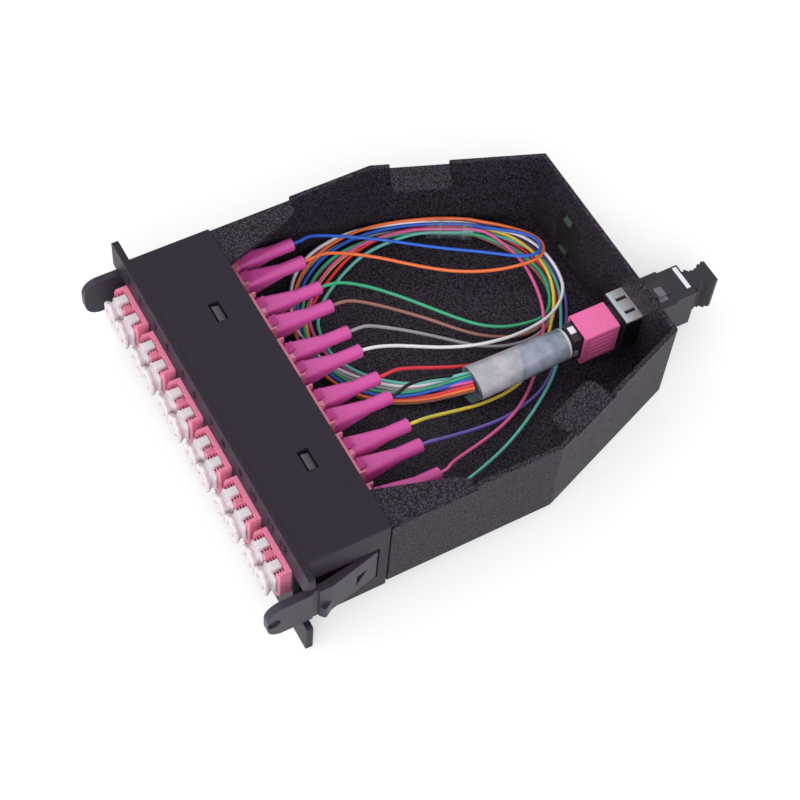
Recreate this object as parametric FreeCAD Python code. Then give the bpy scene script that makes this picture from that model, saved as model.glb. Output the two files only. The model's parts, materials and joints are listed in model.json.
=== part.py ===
"""Twelve-fibre patching cassette with its lid off: an MPO trunk at the back fans out to six LC duplex ports.

Frame, in millimetres: X along the row of ports, Y into the cassette, Z up.
X = 0 is the middle of the front plate, Y = 0 is the plate's rear (seating) face and
Z = 0 is the underside of the moulded front housing.
"""
import FreeCAD, Part
import math
import os

V = FreeCAD.Vector

# ---- adapters in a row, which set the width ----------------------------------------------
NUMBER_OF_ADAPTERS = 6
PITCH = 15.2               # adapter to adapter
PORT_PITCH = 6.25          # port to port in one adapter
PORT_Z = 14.4              # height of the port axes
ROW_MARGIN = 1.4           # from the row's outer pitch lines to the housing's outer faces

# ---- front plate and housing -------------------------------------------------------------
HOUSING_MID = 1.2          # the housing and tray sit this far right of the plate's middle
HOUSING_W = NUMBER_OF_ADAPTERS * PITCH + 2 * ROW_MARGIN
HOUSING_D = 21.2
HOUSING_H = 27.4
SIDE_T = 1.2
TOP_T = 2.0
BASE_T = 1.1
SHELF_T = 1.4              # rest under the adapters
SHELF_SETBACK = 5.0        # from the housing's rear edge
PLATE_T = 1.7
PLATE_DROP = 6.5           # how far the plate hangs below the housing
PLATE_CORNER = 0.8
EAR = 4.1                  # how far the right ear reaches past the housing
PLATE_HALF = HOUSING_MID + HOUSING_W / 2 + EAR
EAR_NOTCH_TOP = 18.4       # underside of the left ear, above the latch
EAR_FOOT = 3.6             # top of the lower ears
EAR_SLANT = 2.3             # the right ear's lower corner is cut this far in
LEFT_NOTCH = 0.5           # notch edge, outward of the left wall
RIGHT_NOTCH = 3.0          # notch edge, inward of the right wall
NOTCH_SLANT = 2.8
WINDOW_X = 23.2            # snap windows, either side of the housing's middle
WINDOW_W = 5.8
WINDOW_Y = 11.0
WINDOW_D = 2.9
RETAINER_FRONT = 4.5       # the retainer reaches this far in front of the windows
RETAINER_BACK = 2.0        # and this far behind them
HOOK_GAP = 0.3             # behind and right of each hook in its window; wider in front and left

# ---- LC duplex adapters, caps and connectors ---------------------------------------------
BODY_W = 12.2
BODY_H = 9.4
BODY_END = 25.6            # rear face of an adapter
COLLAR_W = 12.8
COLLAR_H = 9.8
COLLAR_L = 3.6
COLLAR_NOSE = 0.7
BORE_W = 5.4
BORE_H = 6.2
KEY_W = 4.8                # latch slot in the top of each port
KEY_L = 1.1                # its length at the rear
FLANGE_T = 1.2             # the strip of collar that no slot cuts, against the plate
COLLAR_SLOT = 0.7          # slot across the middle rib, in front of that strip
RIDGE_GROOVE = 0.3         # the two grooves along the middle rib
SLEEVE_Y = 7.0             # bulkhead that carries the ferrules
SLEEVE_T = 1.6
FIT = 0.1                  # clearance of one fixed piece in another
CAP_FIT = 0.15
CAP_RIB_W = 4.1
CAP_HEAD_L = 2.8
CAP_HEAD_LOW = 0.2         # the head sits this far below the port's axis
# Sections of the head from its seat outwards: (distance, width, height, corner radius).
CAP_HEAD = [(0, 5.7, 7.0, 1.4), (0.4, 5.7, 7.0, 1.4), (0.9, 4.7, 6.4, 1.6), (1.2, 4.7, 6.4, 1.6),
            (2.1, 5.9, 8.2, 2.4), (CAP_HEAD_L, 5.6, 7.9, 2.3)]
CAP_RING_R = 2.0           # recessed ring in the head's face
CAP_BUTTON_R = 1.2
CAP_PLUG_L = 7.0
CAP_BORE_R = 1.5
FERRULE_R = 1.25
FERRULE_L = 5.0
PLUG_W = 4.6
LEVER_W = 2.6
LEVER_T = 0.75
LEVER_ROOT = 3.0           # length of the lever inside the socket
LEVER_RISE = 1.3           # how far the lever ends behind the adapter and above the plug
BOOT_TAPER = 10.0
BOOT_L = 16.7
BOOT_BASE_W = 5.4
BOOT_CORNER = 0.8
BOOT_R = 1.75
FIBRE_R = 0.45

# ---- latch arms --------------------------------------------------------------------------
FINGER_SETBACK = 1.1       # each finger tab's outer face, inward of the plate's end
LATCH_T = 2.0
LATCH_Z0 = 6.0
LATCH_Z1 = 17.6
LATCH_TIP = 11.2           # how far a finger tab stands out in front of the seating face
LATCH_CORNER = 4.2
CATCH = 1.1                # height of the catch tooth
CATCH_BACK = 5.2           # where the tooth's back slope starts, behind the seating face
CATCH_PEAK = 3.4
CATCH_FRONT = 1.9
GROOVE_FRONT = 0.3
CATCH_H = 4.2              # the tooth runs this far up from the arm's lower edge
GROOVE = 0.5               # depth of the groove that takes the panel's edge
PIVOT_R = 0.6
PIVOT_Y = 18.0
LATCH_GAP = 0.12
ARM_OPENING_Z0 = 5.6       # opening in the side wall that the arm lies in
ARM_OPENING_Z1 = 19.0
DIMPLE_R = 1.6
POCKET_Y = 12.4            # wedge-shaped window through the arm
POCKET_L = 3.2
POCKET_H = 4.2
POCKET_UP = 2.6            # its sill, above the arm's lower edge

# ---- sheet metal tray --------------------------------------------------------------------
SHEET = 1.2
TRAY_PROUD = 0.1           # the tray's walls outside the housing's
TRAY_HALF = HOUSING_W / 2 + TRAY_PROUD
TRAY_Z0 = BASE_T
TRAY_BEND_Y = 66.5
TRAY_END_Y = 109.0
TRAY_END_HALF = 30.9
TRAY_GAP = 0.4             # between the tray's walls and the housing
TAB_DROP = 1.5             # the lid tabs lie this far below the wall tops
FRONT_TAB = 22.0
FRONT_TAB_IN = 11.0
FRONT_TAB_END_IN = 5.2
FRONT_TAB_NIP = 3.0         # its rear corner is cut off this far
MID_TAB_FROM = 5.0         # along the tapered wall, from its bend
MID_TAB_L = 15.5
MID_TAB_IN = 8.0
MID_TAB_CORNER = 2.0
FOLD_R = 0.6               # outside radius of a fold
WELD = 0.3                 # how far a tab's root reaches into its wall
TONGUE_FROM = 2.0          # front edge of the tongue that lies on the housing's floor
TONGUE_GAP = 0.3

# ---- MPO trunk at the back ---------------------------------------------------------------
MPO_OFFSET = 14.5          # both rear positions, either side of the tray's middle
MPO_Z = 12.9
MPO_HOLE_W = 9.0
MPO_HOLE_H = 12.2
MPO_BORE_W = 6.7
MPO_BORE_H = 10.1
MPO_COLLAR_W = 10.8
MPO_COLLAR_H = 13.8
MPO_COLLAR_L = 9.0
MPO_BODY_W = 9.6
MPO_BODY_H = 12.8
MPO_BODY_L = 6.2
MPO_THROAT_L = 4.6         # how far the throat stands into the tray
RAMP_W = 5.0
RAMP_L = 5.6
RAMP_RISE = 1.2
MPO_PLUG_W = 6.4
MPO_PLUG_H = 9.8
MPO_PLUG_REACH = 4.0       # plug's mating face, outward of the rear wall
MPO_NECK = 2.4             # plug between the fan-out and the sleeve
MPO_FERRULE_W = 2.5
MPO_FERRULE_H = 6.4
MPO_FERRULE_L = 3.5
SLEEVE_W = 8.3
SLEEVE_H = 10.6
SLEEVE_L = 10.0
SLEEVE_GAP = 1.3           # sleeve to throat, and the room it leaves to spring forward
RIB_PITCH = 1.6
RIB_W = 0.6
RIB_INSET = 1.6
RIB_DEEP = 0.25
RIBS = 5
CLIP_T = 0.4
CLIP_OPEN = 1.5            # the clip is open below this height of its sides
CLIP_SLOT = 1.0
CLIP_SLOT_X = 2.1
CLIP_LIP = 1.0             # solid strip in front of its two slots
MPO_CAP_PLUG_L = 6.5
MPO_CAP_GRIP_L = 7.6
MPO_CAP_WAIST = 4.0
MPO_CAP_FLARE = 7.0
MPO_CAP_RIBS = 4           # grip ridges on each side
BLANK_HEAD_L = 3.4
BLANK_CORNER = 1.8
SNAP_W = 3.0
SNAP_L = 1.3
SNAP_T = 0.5
TUBE_L = 25.0
TUBE_W = 9.6               # fan-out's front end, pressed flat
TUBE_H = 6.0
TUBE_BACK_W = 8.0
TUBE_BACK_H = 8.6
TUBE_CORNER = 2.6

# ---- cords -------------------------------------------------------------------------------
BUNDLE_R = 2.4
LANE = 1.05                # fibre to fibre where they leave the bundle
LEAD = 4.0                 # straight start of each fibre out of the bundle
BOOT_LEAD = 4.5            # straight end of each fibre into its boot
TAPE_L = 12.0
TAPE_T = 0.4
TAPE_SHORT = 1.5           # from the tape's edge to the bundle's end
TUBE_X = 13.4              # front end of the fan-out
TUBE_Z = 8.8

LATCH_X = PLATE_HALF - FINGER_SETBACK
BOOT_END = BODY_END + BOOT_L
MPO_INNER = TRAY_END_Y - SHEET - MPO_THROAT_L
MPO_COLLAR_END = TRAY_END_Y + MPO_COLLAR_L
MPO_END = MPO_COLLAR_END + MPO_BODY_L
SLEEVE_TO = MPO_INNER - SLEEVE_GAP
SLEEVE_FROM = SLEEVE_TO - SLEEVE_L
TUBE_TO = SLEEVE_FROM - MPO_NECK
TUBE_FROM = TUBE_TO - TUBE_L
BOTTOM = TRAY_Z0 + SHEET   # top of the tray's floor
LEFT_WALL = HOUSING_MID - HOUSING_W / 2
RIGHT_WALL = HOUSING_MID + HOUSING_W / 2
ROW = [PITCH * (i - (NUMBER_OF_ADAPTERS - 1) / 2) for i in range(NUMBER_OF_ADAPTERS)]
PORTS = [x + side * PORT_PITCH / 2 for x in ROW for side in (-1, 1)]
MPO_X = HOUSING_MID + MPO_OFFSET
BLANK_X = HOUSING_MID - MPO_OFFSET


def block(x0, x1, y0, y1, z0, z1):
    """A box between two corners."""
    return Part.makeBox(x1 - x0, y1 - y0, z1 - z0, V(x0, y0, z0))


def centred(x, z, w, h, y0, y1):
    """A box along Y whose section is centred on (x, z)."""
    return block(x - w / 2, x + w / 2, y0, y1, z - h / 2, z + h / 2)


def prism(points, direction):
    """A closed outline of 3-D points, extruded."""
    ring = [V(*p) for p in points]
    return Part.Face(Part.makePolygon(ring + ring[:1])).extrude(V(*direction))


def upright(points, z0, z1):
    """A plan outline of (x, y) points raised from z0 to z1."""
    return prism([(x, y, z0) for x, y in points], (0, 0, z1 - z0))


def edges_where(shape, test):
    """The straight edges whose two ends both pass a test."""
    chosen = []
    for edge in shape.Edges:
        ends = [v.Point for v in edge.Vertexes]
        if len(ends) == 2 and all(test(p) for p in ends):
            chosen.append(edge)
    return chosen


def along(shape, axis, keep=lambda p: True):
    """The straight edges that run along one axis and pass a test."""
    chosen = []
    for edge in edges_where(shape, keep):
        a, b = (v.Point for v in edge.Vertexes)
        run = [abs(b.x - a.x), abs(b.y - a.y), abs(b.z - a.z)]
        if run["xyz".index(axis)] > 0.999 * a.distanceToPoint(b) > 1e-6:
            chosen.append(edge)
    return chosen


def joined(shapes):
    """One solid from several that touch or overlap."""
    whole = shapes[0].multiFuse(shapes[1:]).removeSplitter()
    return whole.Solids[0] if len(whole.Solids) == 1 else whole


def save(name, shape):
    shape.exportStep("parts/" + name + ".step")
    print(name, round(shape.Volume, 1), "mm3", len(shape.Solids), "solid", shape.isValid())


# ---- front housing -----------------------------------------------------------------------
def plate():
    """The flat front plate with its ears, latch notches and rounded feet."""
    low = -PLATE_DROP
    left, right = LEFT_WALL - LEFT_NOTCH, RIGHT_WALL - RIGHT_NOTCH
    outline = [(-PLATE_HALF, HOUSING_H), (-PLATE_HALF, EAR_NOTCH_TOP),
               (left, EAR_NOTCH_TOP), (left, EAR_FOOT),
               (-PLATE_HALF, EAR_FOOT), (-PLATE_HALF, low), (PLATE_HALF, low),
               (PLATE_HALF, EAR_FOOT), (right, EAR_FOOT),
               (right, EAR_NOTCH_TOP - NOTCH_SLANT), (right + NOTCH_SLANT, EAR_NOTCH_TOP),
               (PLATE_HALF - EAR_SLANT, EAR_NOTCH_TOP), (PLATE_HALF, EAR_NOTCH_TOP + 2 * EAR_SLANT),
               (PLATE_HALF, HOUSING_H)]
    sheet = prism([(x, -PLATE_T, z) for x, z in outline], (0, PLATE_T, 0))
    corners = along(sheet, "y", lambda p: abs(p.x) > PLATE_HALF - 0.01)
    return sheet.makeFillet(PLATE_CORNER, corners)


def latch_opening(wall_x):
    """The cut in a side wall that leaves the latch arm free."""
    back = PIVOT_Y + PIVOT_R + LATCH_GAP
    x0 = wall_x - 2 * SIDE_T
    return block(x0, x0 + 4 * SIDE_T, -PLATE_T, back, ARM_OPENING_Z0, ARM_OPENING_Z1)


def front_housing():
    """One moulding: plate, open-backed box, adapter cut-outs, rest shelf and snap windows."""
    x0, x1 = LEFT_WALL, RIGHT_WALL
    shell = block(x0, x1, 0, HOUSING_D, 0, HOUSING_H)
    top_edges = along(shell, "y", lambda p: p.z > HOUSING_H - 0.01)
    shell = shell.makeFillet(0.7, top_edges)
    shell = shell.cut(block(x0 + SIDE_T, x1 - SIDE_T, 0, HOUSING_D + 1, BASE_T, HOUSING_H - TOP_T))
    shelf_z = PORT_Z - BODY_H / 2
    shelf = block(x0 + SIDE_T / 2, x1 - SIDE_T / 2, 0, HOUSING_D - SHELF_SETBACK, shelf_z - SHELF_T, shelf_z)
    body = joined([plate(), shell, shelf])
    for x in ROW:
        body = body.cut(centred(x, PORT_Z, BODY_W + FIT, BODY_H, -PLATE_T - 1, 0.01))
    for wall in (LEFT_WALL + SIDE_T / 2, RIGHT_WALL - SIDE_T / 2):
        body = body.cut(latch_opening(wall))
    for side in (-1, 1):
        x = HOUSING_MID + side * WINDOW_X
        body = body.cut(block(x - WINDOW_W / 2, x + WINDOW_W / 2, WINDOW_Y, WINDOW_Y + WINDOW_D,
                              HOUSING_H - TOP_T - 1, HOUSING_H + 1))
    return body


def adapter_retainer():
    """A bar that holds the adapters down and snaps into the housing's two windows."""
    z0, z1 = PORT_Z + BODY_H / 2, HOUSING_H - TOP_T
    x0, x1 = ROW[0] - BODY_W / 2, ROW[-1] + BODY_W / 2
    y0, y1 = WINDOW_Y - RETAINER_FRONT, WINDOW_Y + WINDOW_D + RETAINER_BACK
    bar = block(x0, x1, y0, y1, z0, z1)
    # A relief runs over every gap between two adapters, so the bar bears on the adapters alone.
    for x in ROW[:-1]:
        gap = PITCH - BODY_W
        mid = x + PITCH / 2
        bar = bar.cut(block(mid - gap / 2, mid + gap / 2, y0 - 1, y1 + 1, z0 - 1, z0 + 1.5))
    hooks = []
    for side in (-1, 1):
        x = HOUSING_MID + side * WINDOW_X - WINDOW_W / 2 + 3 * HOOK_GAP
        front, back = WINDOW_Y + 2 * HOOK_GAP, WINDOW_Y + WINDOW_D - HOOK_GAP
        side_view = [(x, front, z1 - 0.5), (x, back, z1 - 0.5), (x, back, HOUSING_H - 0.8),
                     (x, front + HOOK_GAP, HOUSING_H - 0.2), (x, front, HOUSING_H - 0.4)]
        hooks.append(prism(side_view, (WINDOW_W - 4 * HOOK_GAP, 0, 0)))
    return joined([bar] + hooks)


# ---- latch arms --------------------------------------------------------------------------
def latch_arm(side):
    """A side latch: root in the wall, flared arm, catch tooth, groove and finger tab."""
    wall = HOUSING_MID + side * HOUSING_W / 2
    root = wall - side * SIDE_T / 2
    out = side * LATCH_X
    inner = out - side * LATCH_T
    catch = out + side * CATCH
    groove = out - side * GROOVE
    outline = [(root + side * PIVOT_R, PIVOT_Y), (out, CATCH_BACK), (out, CATCH_FRONT),
               (groove, CATCH_FRONT), (groove, GROOVE_FRONT), (out, GROOVE_FRONT), (out, -LATCH_TIP),
               (inner, -LATCH_TIP), (inner, CATCH_PEAK), (root - side * PIVOT_R, PIVOT_Y)]
    arm = upright(outline, LATCH_Z0, LATCH_Z1)
    tooth = upright([(groove, CATCH_BACK), (out, CATCH_BACK), (catch, CATCH_PEAK),
                     (catch, CATCH_PEAK - FOLD_R), (out, CATCH_FRONT), (groove, CATCH_FRONT)],
                    LATCH_Z0, LATCH_Z0 + CATCH_H)
    tips = along(arm, "x", lambda p: p.y < -LATCH_TIP + 0.01)
    arm = arm.makeFillet(LATCH_CORNER, tips)
    hub = Part.makeCylinder(PIVOT_R, LATCH_Z1 - LATCH_Z0, V(root, PIVOT_Y, LATCH_Z0))
    arm = joined([arm, tooth, hub])
    dimple = Part.makeCylinder(DIMPLE_R, 1.4, V(out - side * 0.7, 1.7 - LATCH_TIP, (LATCH_Z0 + LATCH_Z1) / 2),
                               V(side, 0, 0))
    x0, z0 = wall - 3 * LATCH_T, LATCH_Z0 + POCKET_UP
    pocket = prism([(x0, POCKET_Y, z0), (x0, POCKET_Y + POCKET_L, z0 + POCKET_H),
                    (x0, POCKET_Y, z0 + POCKET_H)], (6 * LATCH_T, 0, 0))
    return arm.cut(dimple).cut(pocket)


# ---- adapters, caps, connectors ----------------------------------------------------------
def lc_adapter(x):
    """A flanged duplex adapter, open right through but for the bulkhead that carries the ferrules."""
    front = -PLATE_T - COLLAR_L
    body = centred(x, PORT_Z, BODY_W, BODY_H, -PLATE_T, BODY_END)
    collar = centred(x, PORT_Z, COLLAR_W, COLLAR_H, front, -PLATE_T)
    nose = along(collar, "z", lambda p: p.y < front + 0.01)
    collar = collar.makeChamfer(COLLAR_NOSE, nose)
    adapter = joined([body, collar])
    top = PORT_Z + COLLAR_H / 2 + 1
    for side in (-1, 1):
        port = x + side * PORT_PITCH / 2
        adapter = adapter.cut(centred(port, PORT_Z, BORE_W, BORE_H, front - 1, SLEEVE_Y))
        adapter = adapter.cut(centred(port, PORT_Z, BORE_W, BORE_H, SLEEVE_Y + SLEEVE_T, BODY_END + 1))
        adapter = adapter.cut(Part.makeCylinder(FERRULE_R + 0.05, SLEEVE_T + 2, V(port, SLEEVE_Y - 1, PORT_Z),
                                                V(0, 1, 0)))
        adapter = adapter.cut(block(port - KEY_W / 2, port + KEY_W / 2, front - 1, -PLATE_T - FLANGE_T,
                                    PORT_Z, top))
        adapter = adapter.cut(block(port - KEY_W / 2, port + KEY_W / 2, BODY_END - KEY_L, BODY_END + 1,
                                    PORT_Z, top))
        groove_x = x + side * RIDGE_GROOVE
        adapter = adapter.cut(block(groove_x - RIDGE_GROOVE / 4, groove_x + RIDGE_GROOVE / 4, front - 1,
                                    -PLATE_T - FLANGE_T, top - 1 - RIDGE_GROOVE, top))
    rib = PORT_PITCH - KEY_W
    return adapter.cut(block(x - rib, x + rib, -PLATE_T - FLANGE_T - COLLAR_SLOT, -PLATE_T - FLANGE_T,
                             top - 1 - COLLAR_SLOT, top))


def dust_cap(x):
    """A push-in cap: hollow plug, key rib that fills the latch slot, and a waisted, flared head."""
    seat = -PLATE_T - COLLAR_L
    tip = seat + CAP_PLUG_L
    w, h = BORE_W - 2 * CAP_FIT, BORE_H - 2 * CAP_FIT
    plug = centred(x, PORT_Z, w, h, seat - 0.5, tip)
    plug = plug.makeChamfer(0.5, [e for e in plug.Edges if all(v.Point.y > tip - 0.01 for v in e.Vertexes)])
    rib_top = PORT_Z + COLLAR_H / 2 - 0.1
    rib = block(x - CAP_RIB_W / 2, x + CAP_RIB_W / 2, seat - 0.7, -PLATE_T - FLANGE_T - CAP_FIT,
                PORT_Z, rib_top)
    rings = [rounded_wire(x, seat - out, PORT_Z - CAP_HEAD_LOW, w, h, r) for out, w, h, r in CAP_HEAD]
    head = Part.makeLoft(rings, True, True)
    cap = joined([plug, rib, head])
    cap = cap.cut(Part.makeCylinder(CAP_BORE_R, CAP_PLUG_L, V(x, seat + 1, PORT_Z), V(0, 1, 0)))
    face = V(x, seat - CAP_HEAD_L, PORT_Z - CAP_HEAD_LOW)
    ring = Part.makeCylinder(CAP_RING_R, 0.6, face, V(0, 1, 0))
    ring = ring.cut(Part.makeCylinder(CAP_BUTTON_R, 1.0, face, V(0, 1, 0)))
    return cap.cut(ring)


def lc_connector(x):
    """A simplex plug in the adapter's rear socket, with its latch lever and tapered boot."""
    body = centred(x, PORT_Z, PLUG_W, PLUG_W, SLEEVE_Y + SLEEVE_T + 0.2, BODY_END)
    ferrule = Part.makeCylinder(FERRULE_R, FERRULE_L, V(x, SLEEVE_Y - 0.6, PORT_Z), V(0, 1, 0))
    # The lever lies under the socket's top wall and rises out of it through the key slot.
    top, knee = PORT_Z + PLUG_W / 2, BODY_END - KEY_L - CAP_FIT
    lever = prism([(x - LEVER_W / 2, knee - LEVER_ROOT, top - 0.3), (x - LEVER_W / 2, knee, top - 0.1),
                   (x - LEVER_W / 2, BODY_END + LEVER_RISE, top + LEVER_RISE),
                   (x - LEVER_W / 2, BODY_END + LEVER_RISE, top + LEVER_RISE + LEVER_T),
                   (x - LEVER_W / 2, knee, top - 0.1 + LEVER_T),
                   (x - LEVER_W / 2, knee - LEVER_ROOT, top - 0.3 + LEVER_T)], (LEVER_W, 0, 0))
    base = square_ring(x, BODY_END, BOOT_BASE_W, BOOT_CORNER)
    waist = square_ring(x, BODY_END + BOOT_TAPER, 2 * BOOT_R + 0.1, BOOT_R)
    boot = Part.makeLoft([base, waist], True, True)
    tail_y = BODY_END + BOOT_TAPER - 0.5
    tail = Part.makeCylinder(BOOT_R, BOOT_END - tail_y, V(x, tail_y, PORT_Z), V(0, 1, 0))
    rim = [e for e in tail.Edges if all(v.Point.y > BOOT_END - 0.01 for v in e.Vertexes)]
    tail = tail.makeFillet(0.25, rim[:1])
    return joined([body, ferrule, lever, boot, tail])


def square_ring(x, y, width, corner):
    """A rounded square wire across Y, centred on a port axis, for lofts."""
    return rounded_wire(x, y, PORT_Z, width, width, corner)


def rounded_wire(x, y, z, w, h, r):
    """A rounded rectangle across Y as a wire of four lines and four arcs."""
    hw, hh = w / 2, h / 2
    r = min(r, hw - 0.05, hh - 0.05)
    edges = []
    quarter = [(hw - r, hh - r, 0), (r - hw, hh - r, 90), (r - hw, r - hh, 180), (hw - r, r - hh, 270)]
    for i, (cx, cz, start) in enumerate(quarter):
        spots = []
        for turn in (0, 45, 90):
            angle = math.radians(start + turn)
            spots.append(V(x + cx + r * math.cos(angle), y, z + cz + r * math.sin(angle)))
        edges.append(Part.Arc(*spots).toShape())
        nx, nz, nstart = quarter[(i + 1) % 4]
        angle = math.radians(nstart)
        following = V(x + nx + r * math.cos(angle), y, z + nz + r * math.sin(angle))
        edges.append(Part.LineSegment(spots[2], following).toShape())
    return Part.Wire(edges)


# ---- tray --------------------------------------------------------------------------------
def tray_plan(inset, front):
    """The tray's hexagonal plan, drawn in by an inset, from a given front line."""
    lean = math.atan2(TRAY_HALF - TRAY_END_HALF, TRAY_END_Y - TRAY_BEND_Y)
    bend = inset * math.tan(lean / 2)
    corner = inset * (1 - math.sin(lean)) / math.cos(lean)
    m = HOUSING_MID
    return [(m - TRAY_HALF + inset, front), (m + TRAY_HALF - inset, front),
            (m + TRAY_HALF - inset, TRAY_BEND_Y - bend),
            (m + TRAY_END_HALF - corner, TRAY_END_Y - inset),
            (m - TRAY_END_HALF + corner, TRAY_END_Y - inset),
            (m - TRAY_HALF + inset, TRAY_BEND_Y - bend)]


def front_tab(side):
    """Lid tab on the straight wall, next to the housing."""
    y0 = HOUSING_D + TRAY_GAP
    y1 = y0 + FRONT_TAB
    wall = HOUSING_MID + side * (TRAY_HALF - WELD)
    outline = [(wall, y0), (wall - side * FRONT_TAB_IN, y0),
               (wall - side * FRONT_TAB_END_IN, y1 - FRONT_TAB_NIP),
               (wall - side * (FRONT_TAB_END_IN - FRONT_TAB_NIP / 1.5), y1),
               (wall, y1)]
    top = HOUSING_H - TAB_DROP
    return upright(outline, top - SHEET, top)


def mid_tab(side):
    """Lid tab on a tapered wall, square to that wall, with rounded inner corners."""
    run = math.hypot(TRAY_HALF - TRAY_END_HALF, TRAY_END_Y - TRAY_BEND_Y)
    ux, uy = -(TRAY_HALF - TRAY_END_HALF) / run, (TRAY_END_Y - TRAY_BEND_Y) / run
    spots = []
    for t, depth in ((MID_TAB_FROM, WELD), (MID_TAB_FROM, MID_TAB_IN), (MID_TAB_FROM + MID_TAB_L, MID_TAB_IN),
                     (MID_TAB_FROM + MID_TAB_L, WELD)):
        spots.append((HOUSING_MID + side * (TRAY_HALF + t * ux - depth * uy),
                      TRAY_BEND_Y + t * uy + depth * ux))
    top = HOUSING_H - TAB_DROP
    tab = upright(spots, top - SHEET, top)
    tips = along(tab, "z", lambda p: abs(p.x - HOUSING_MID) < abs(spots[3][0] - HOUSING_MID) - 2
                 or abs(p.x - spots[1][0]) < 0.01)
    return tab.makeFillet(MID_TAB_CORNER, tips)


def tab_relief(side):
    """The wall is folded over at each tab, so its top is lower there."""
    top = HOUSING_H - TAB_DROP
    y0 = HOUSING_D + TRAY_GAP
    wall = HOUSING_MID + side * TRAY_HALF
    front = block(min(wall, wall - side * 2) - 1, max(wall, wall - side * 2) + 1, y0 - 1, y0 + FRONT_TAB, top,
                  HOUSING_H + 1)
    run = math.hypot(TRAY_HALF - TRAY_END_HALF, TRAY_END_Y - TRAY_BEND_Y)
    ux, uy = -(TRAY_HALF - TRAY_END_HALF) / run, (TRAY_END_Y - TRAY_BEND_Y) / run
    spots = []
    for t, depth in ((MID_TAB_FROM, -1), (MID_TAB_FROM, 2), (MID_TAB_FROM + MID_TAB_L, 2),
                     (MID_TAB_FROM + MID_TAB_L, -1)):
        spots.append((HOUSING_MID + side * (TRAY_HALF + t * ux - depth * uy),
                      TRAY_BEND_Y + t * uy + depth * ux))
    return [front, upright(spots, top, HOUSING_H + 1)]


def tray():
    """One folded sheet: floor, five walls, four lid tabs, two rear openings and a floor tongue."""
    front = HOUSING_D + TRAY_GAP
    outer = upright(tray_plan(0, front), TRAY_Z0, HOUSING_H)
    folds = along(outer, "z", lambda p: p.y > TRAY_BEND_Y - 1)
    outer = outer.makeFillet(FOLD_R, folds)
    bottom = [e for e in outer.Edges if all(v.Point.z < TRAY_Z0 + 0.01 for v in e.Vertexes)
              and any(v.Point.y > front + 0.01 for v in e.Vertexes)]
    outer = outer.makeFillet(FOLD_R, bottom)
    inner = upright(tray_plan(SHEET, front - 1), BOTTOM, HOUSING_H + 1)
    inner = inner.makeFillet(FOLD_R / 2, along(inner, "z", lambda p: p.y > TRAY_BEND_Y - 1))
    body = outer.cut(inner)
    for side in (-1, 1):
        for relief in tab_relief(side):
            body = body.cut(relief)
    tongue = block(LEFT_WALL + SIDE_T + TONGUE_GAP, RIGHT_WALL - SIDE_T - TONGUE_GAP, TONGUE_FROM, front + 1,
                   TRAY_Z0, BOTTOM)
    body = joined([body, tongue] + [tab(side) for side in (-1, 1) for tab in (front_tab, mid_tab)])
    for x in (MPO_X, BLANK_X):
        body = body.cut(centred(x, MPO_Z, MPO_HOLE_W + 2 * FIT, MPO_HOLE_H + 2 * FIT,
                                TRAY_END_Y - SHEET - 1, TRAY_END_Y + 1))
    return body


# ---- MPO trunk ---------------------------------------------------------------------------
def mpo_adapter():
    """Moulded adapter pushed in from outside: collar, body, inner throat and a through bore."""
    collar = centred(MPO_X, MPO_Z, MPO_COLLAR_W, MPO_COLLAR_H, TRAY_END_Y, MPO_COLLAR_END)
    collar = collar.makeChamfer(0.5, along(collar, "y"))
    body = centred(MPO_X, MPO_Z, MPO_BODY_W, MPO_BODY_H, MPO_COLLAR_END - 1, MPO_END)
    throat = centred(MPO_X, MPO_Z, MPO_HOLE_W, MPO_HOLE_H, MPO_INNER, TRAY_END_Y + 1)
    ramp_z = MPO_Z + MPO_COLLAR_H / 2
    ramp_x, ramp_y = MPO_X - RAMP_W / 2, MPO_COLLAR_END - RAMP_L
    ramp = prism([(ramp_x, ramp_y, ramp_z - 0.5), (ramp_x, MPO_COLLAR_END, ramp_z - 0.5),
                  (ramp_x, MPO_COLLAR_END, ramp_z + 0.1), (ramp_x, ramp_y, ramp_z + RAMP_RISE)],
                 (RAMP_W, 0, 0))
    solid = joined([collar, body, throat, ramp])
    return solid.cut(centred(MPO_X, MPO_Z, MPO_BORE_W, MPO_BORE_H, MPO_INNER - 1, MPO_END + 1))


def mpo_clip():
    """Folded spring clip round the throat: slotted top, two legs that bear on the rear wall."""
    w, h = MPO_HOLE_W + 2 * FIT, MPO_HOLE_H + 2 * FIT
    y0, y1 = MPO_INNER - 0.1, TRAY_END_Y - SHEET
    clip = centred(MPO_X, MPO_Z, w + 2 * CLIP_T, h + 2 * CLIP_T, y0, y1)
    clip = clip.cut(centred(MPO_X, MPO_Z, w, h, y0 - 1, y1 + 1))
    clip = clip.cut(block(MPO_X - w, MPO_X + w, y0 - 1, y1 + 1, MPO_Z - h, MPO_Z - h / 2 + CLIP_OPEN))
    top = MPO_Z + h / 2
    for x in (MPO_X - CLIP_SLOT_X, MPO_X + CLIP_SLOT_X):
        clip = clip.cut(block(x - CLIP_SLOT / 2, x + CLIP_SLOT / 2, y0 + CLIP_LIP, y1 - CLIP_T,
                              top - 1, top + 1))
    return clip


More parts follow.
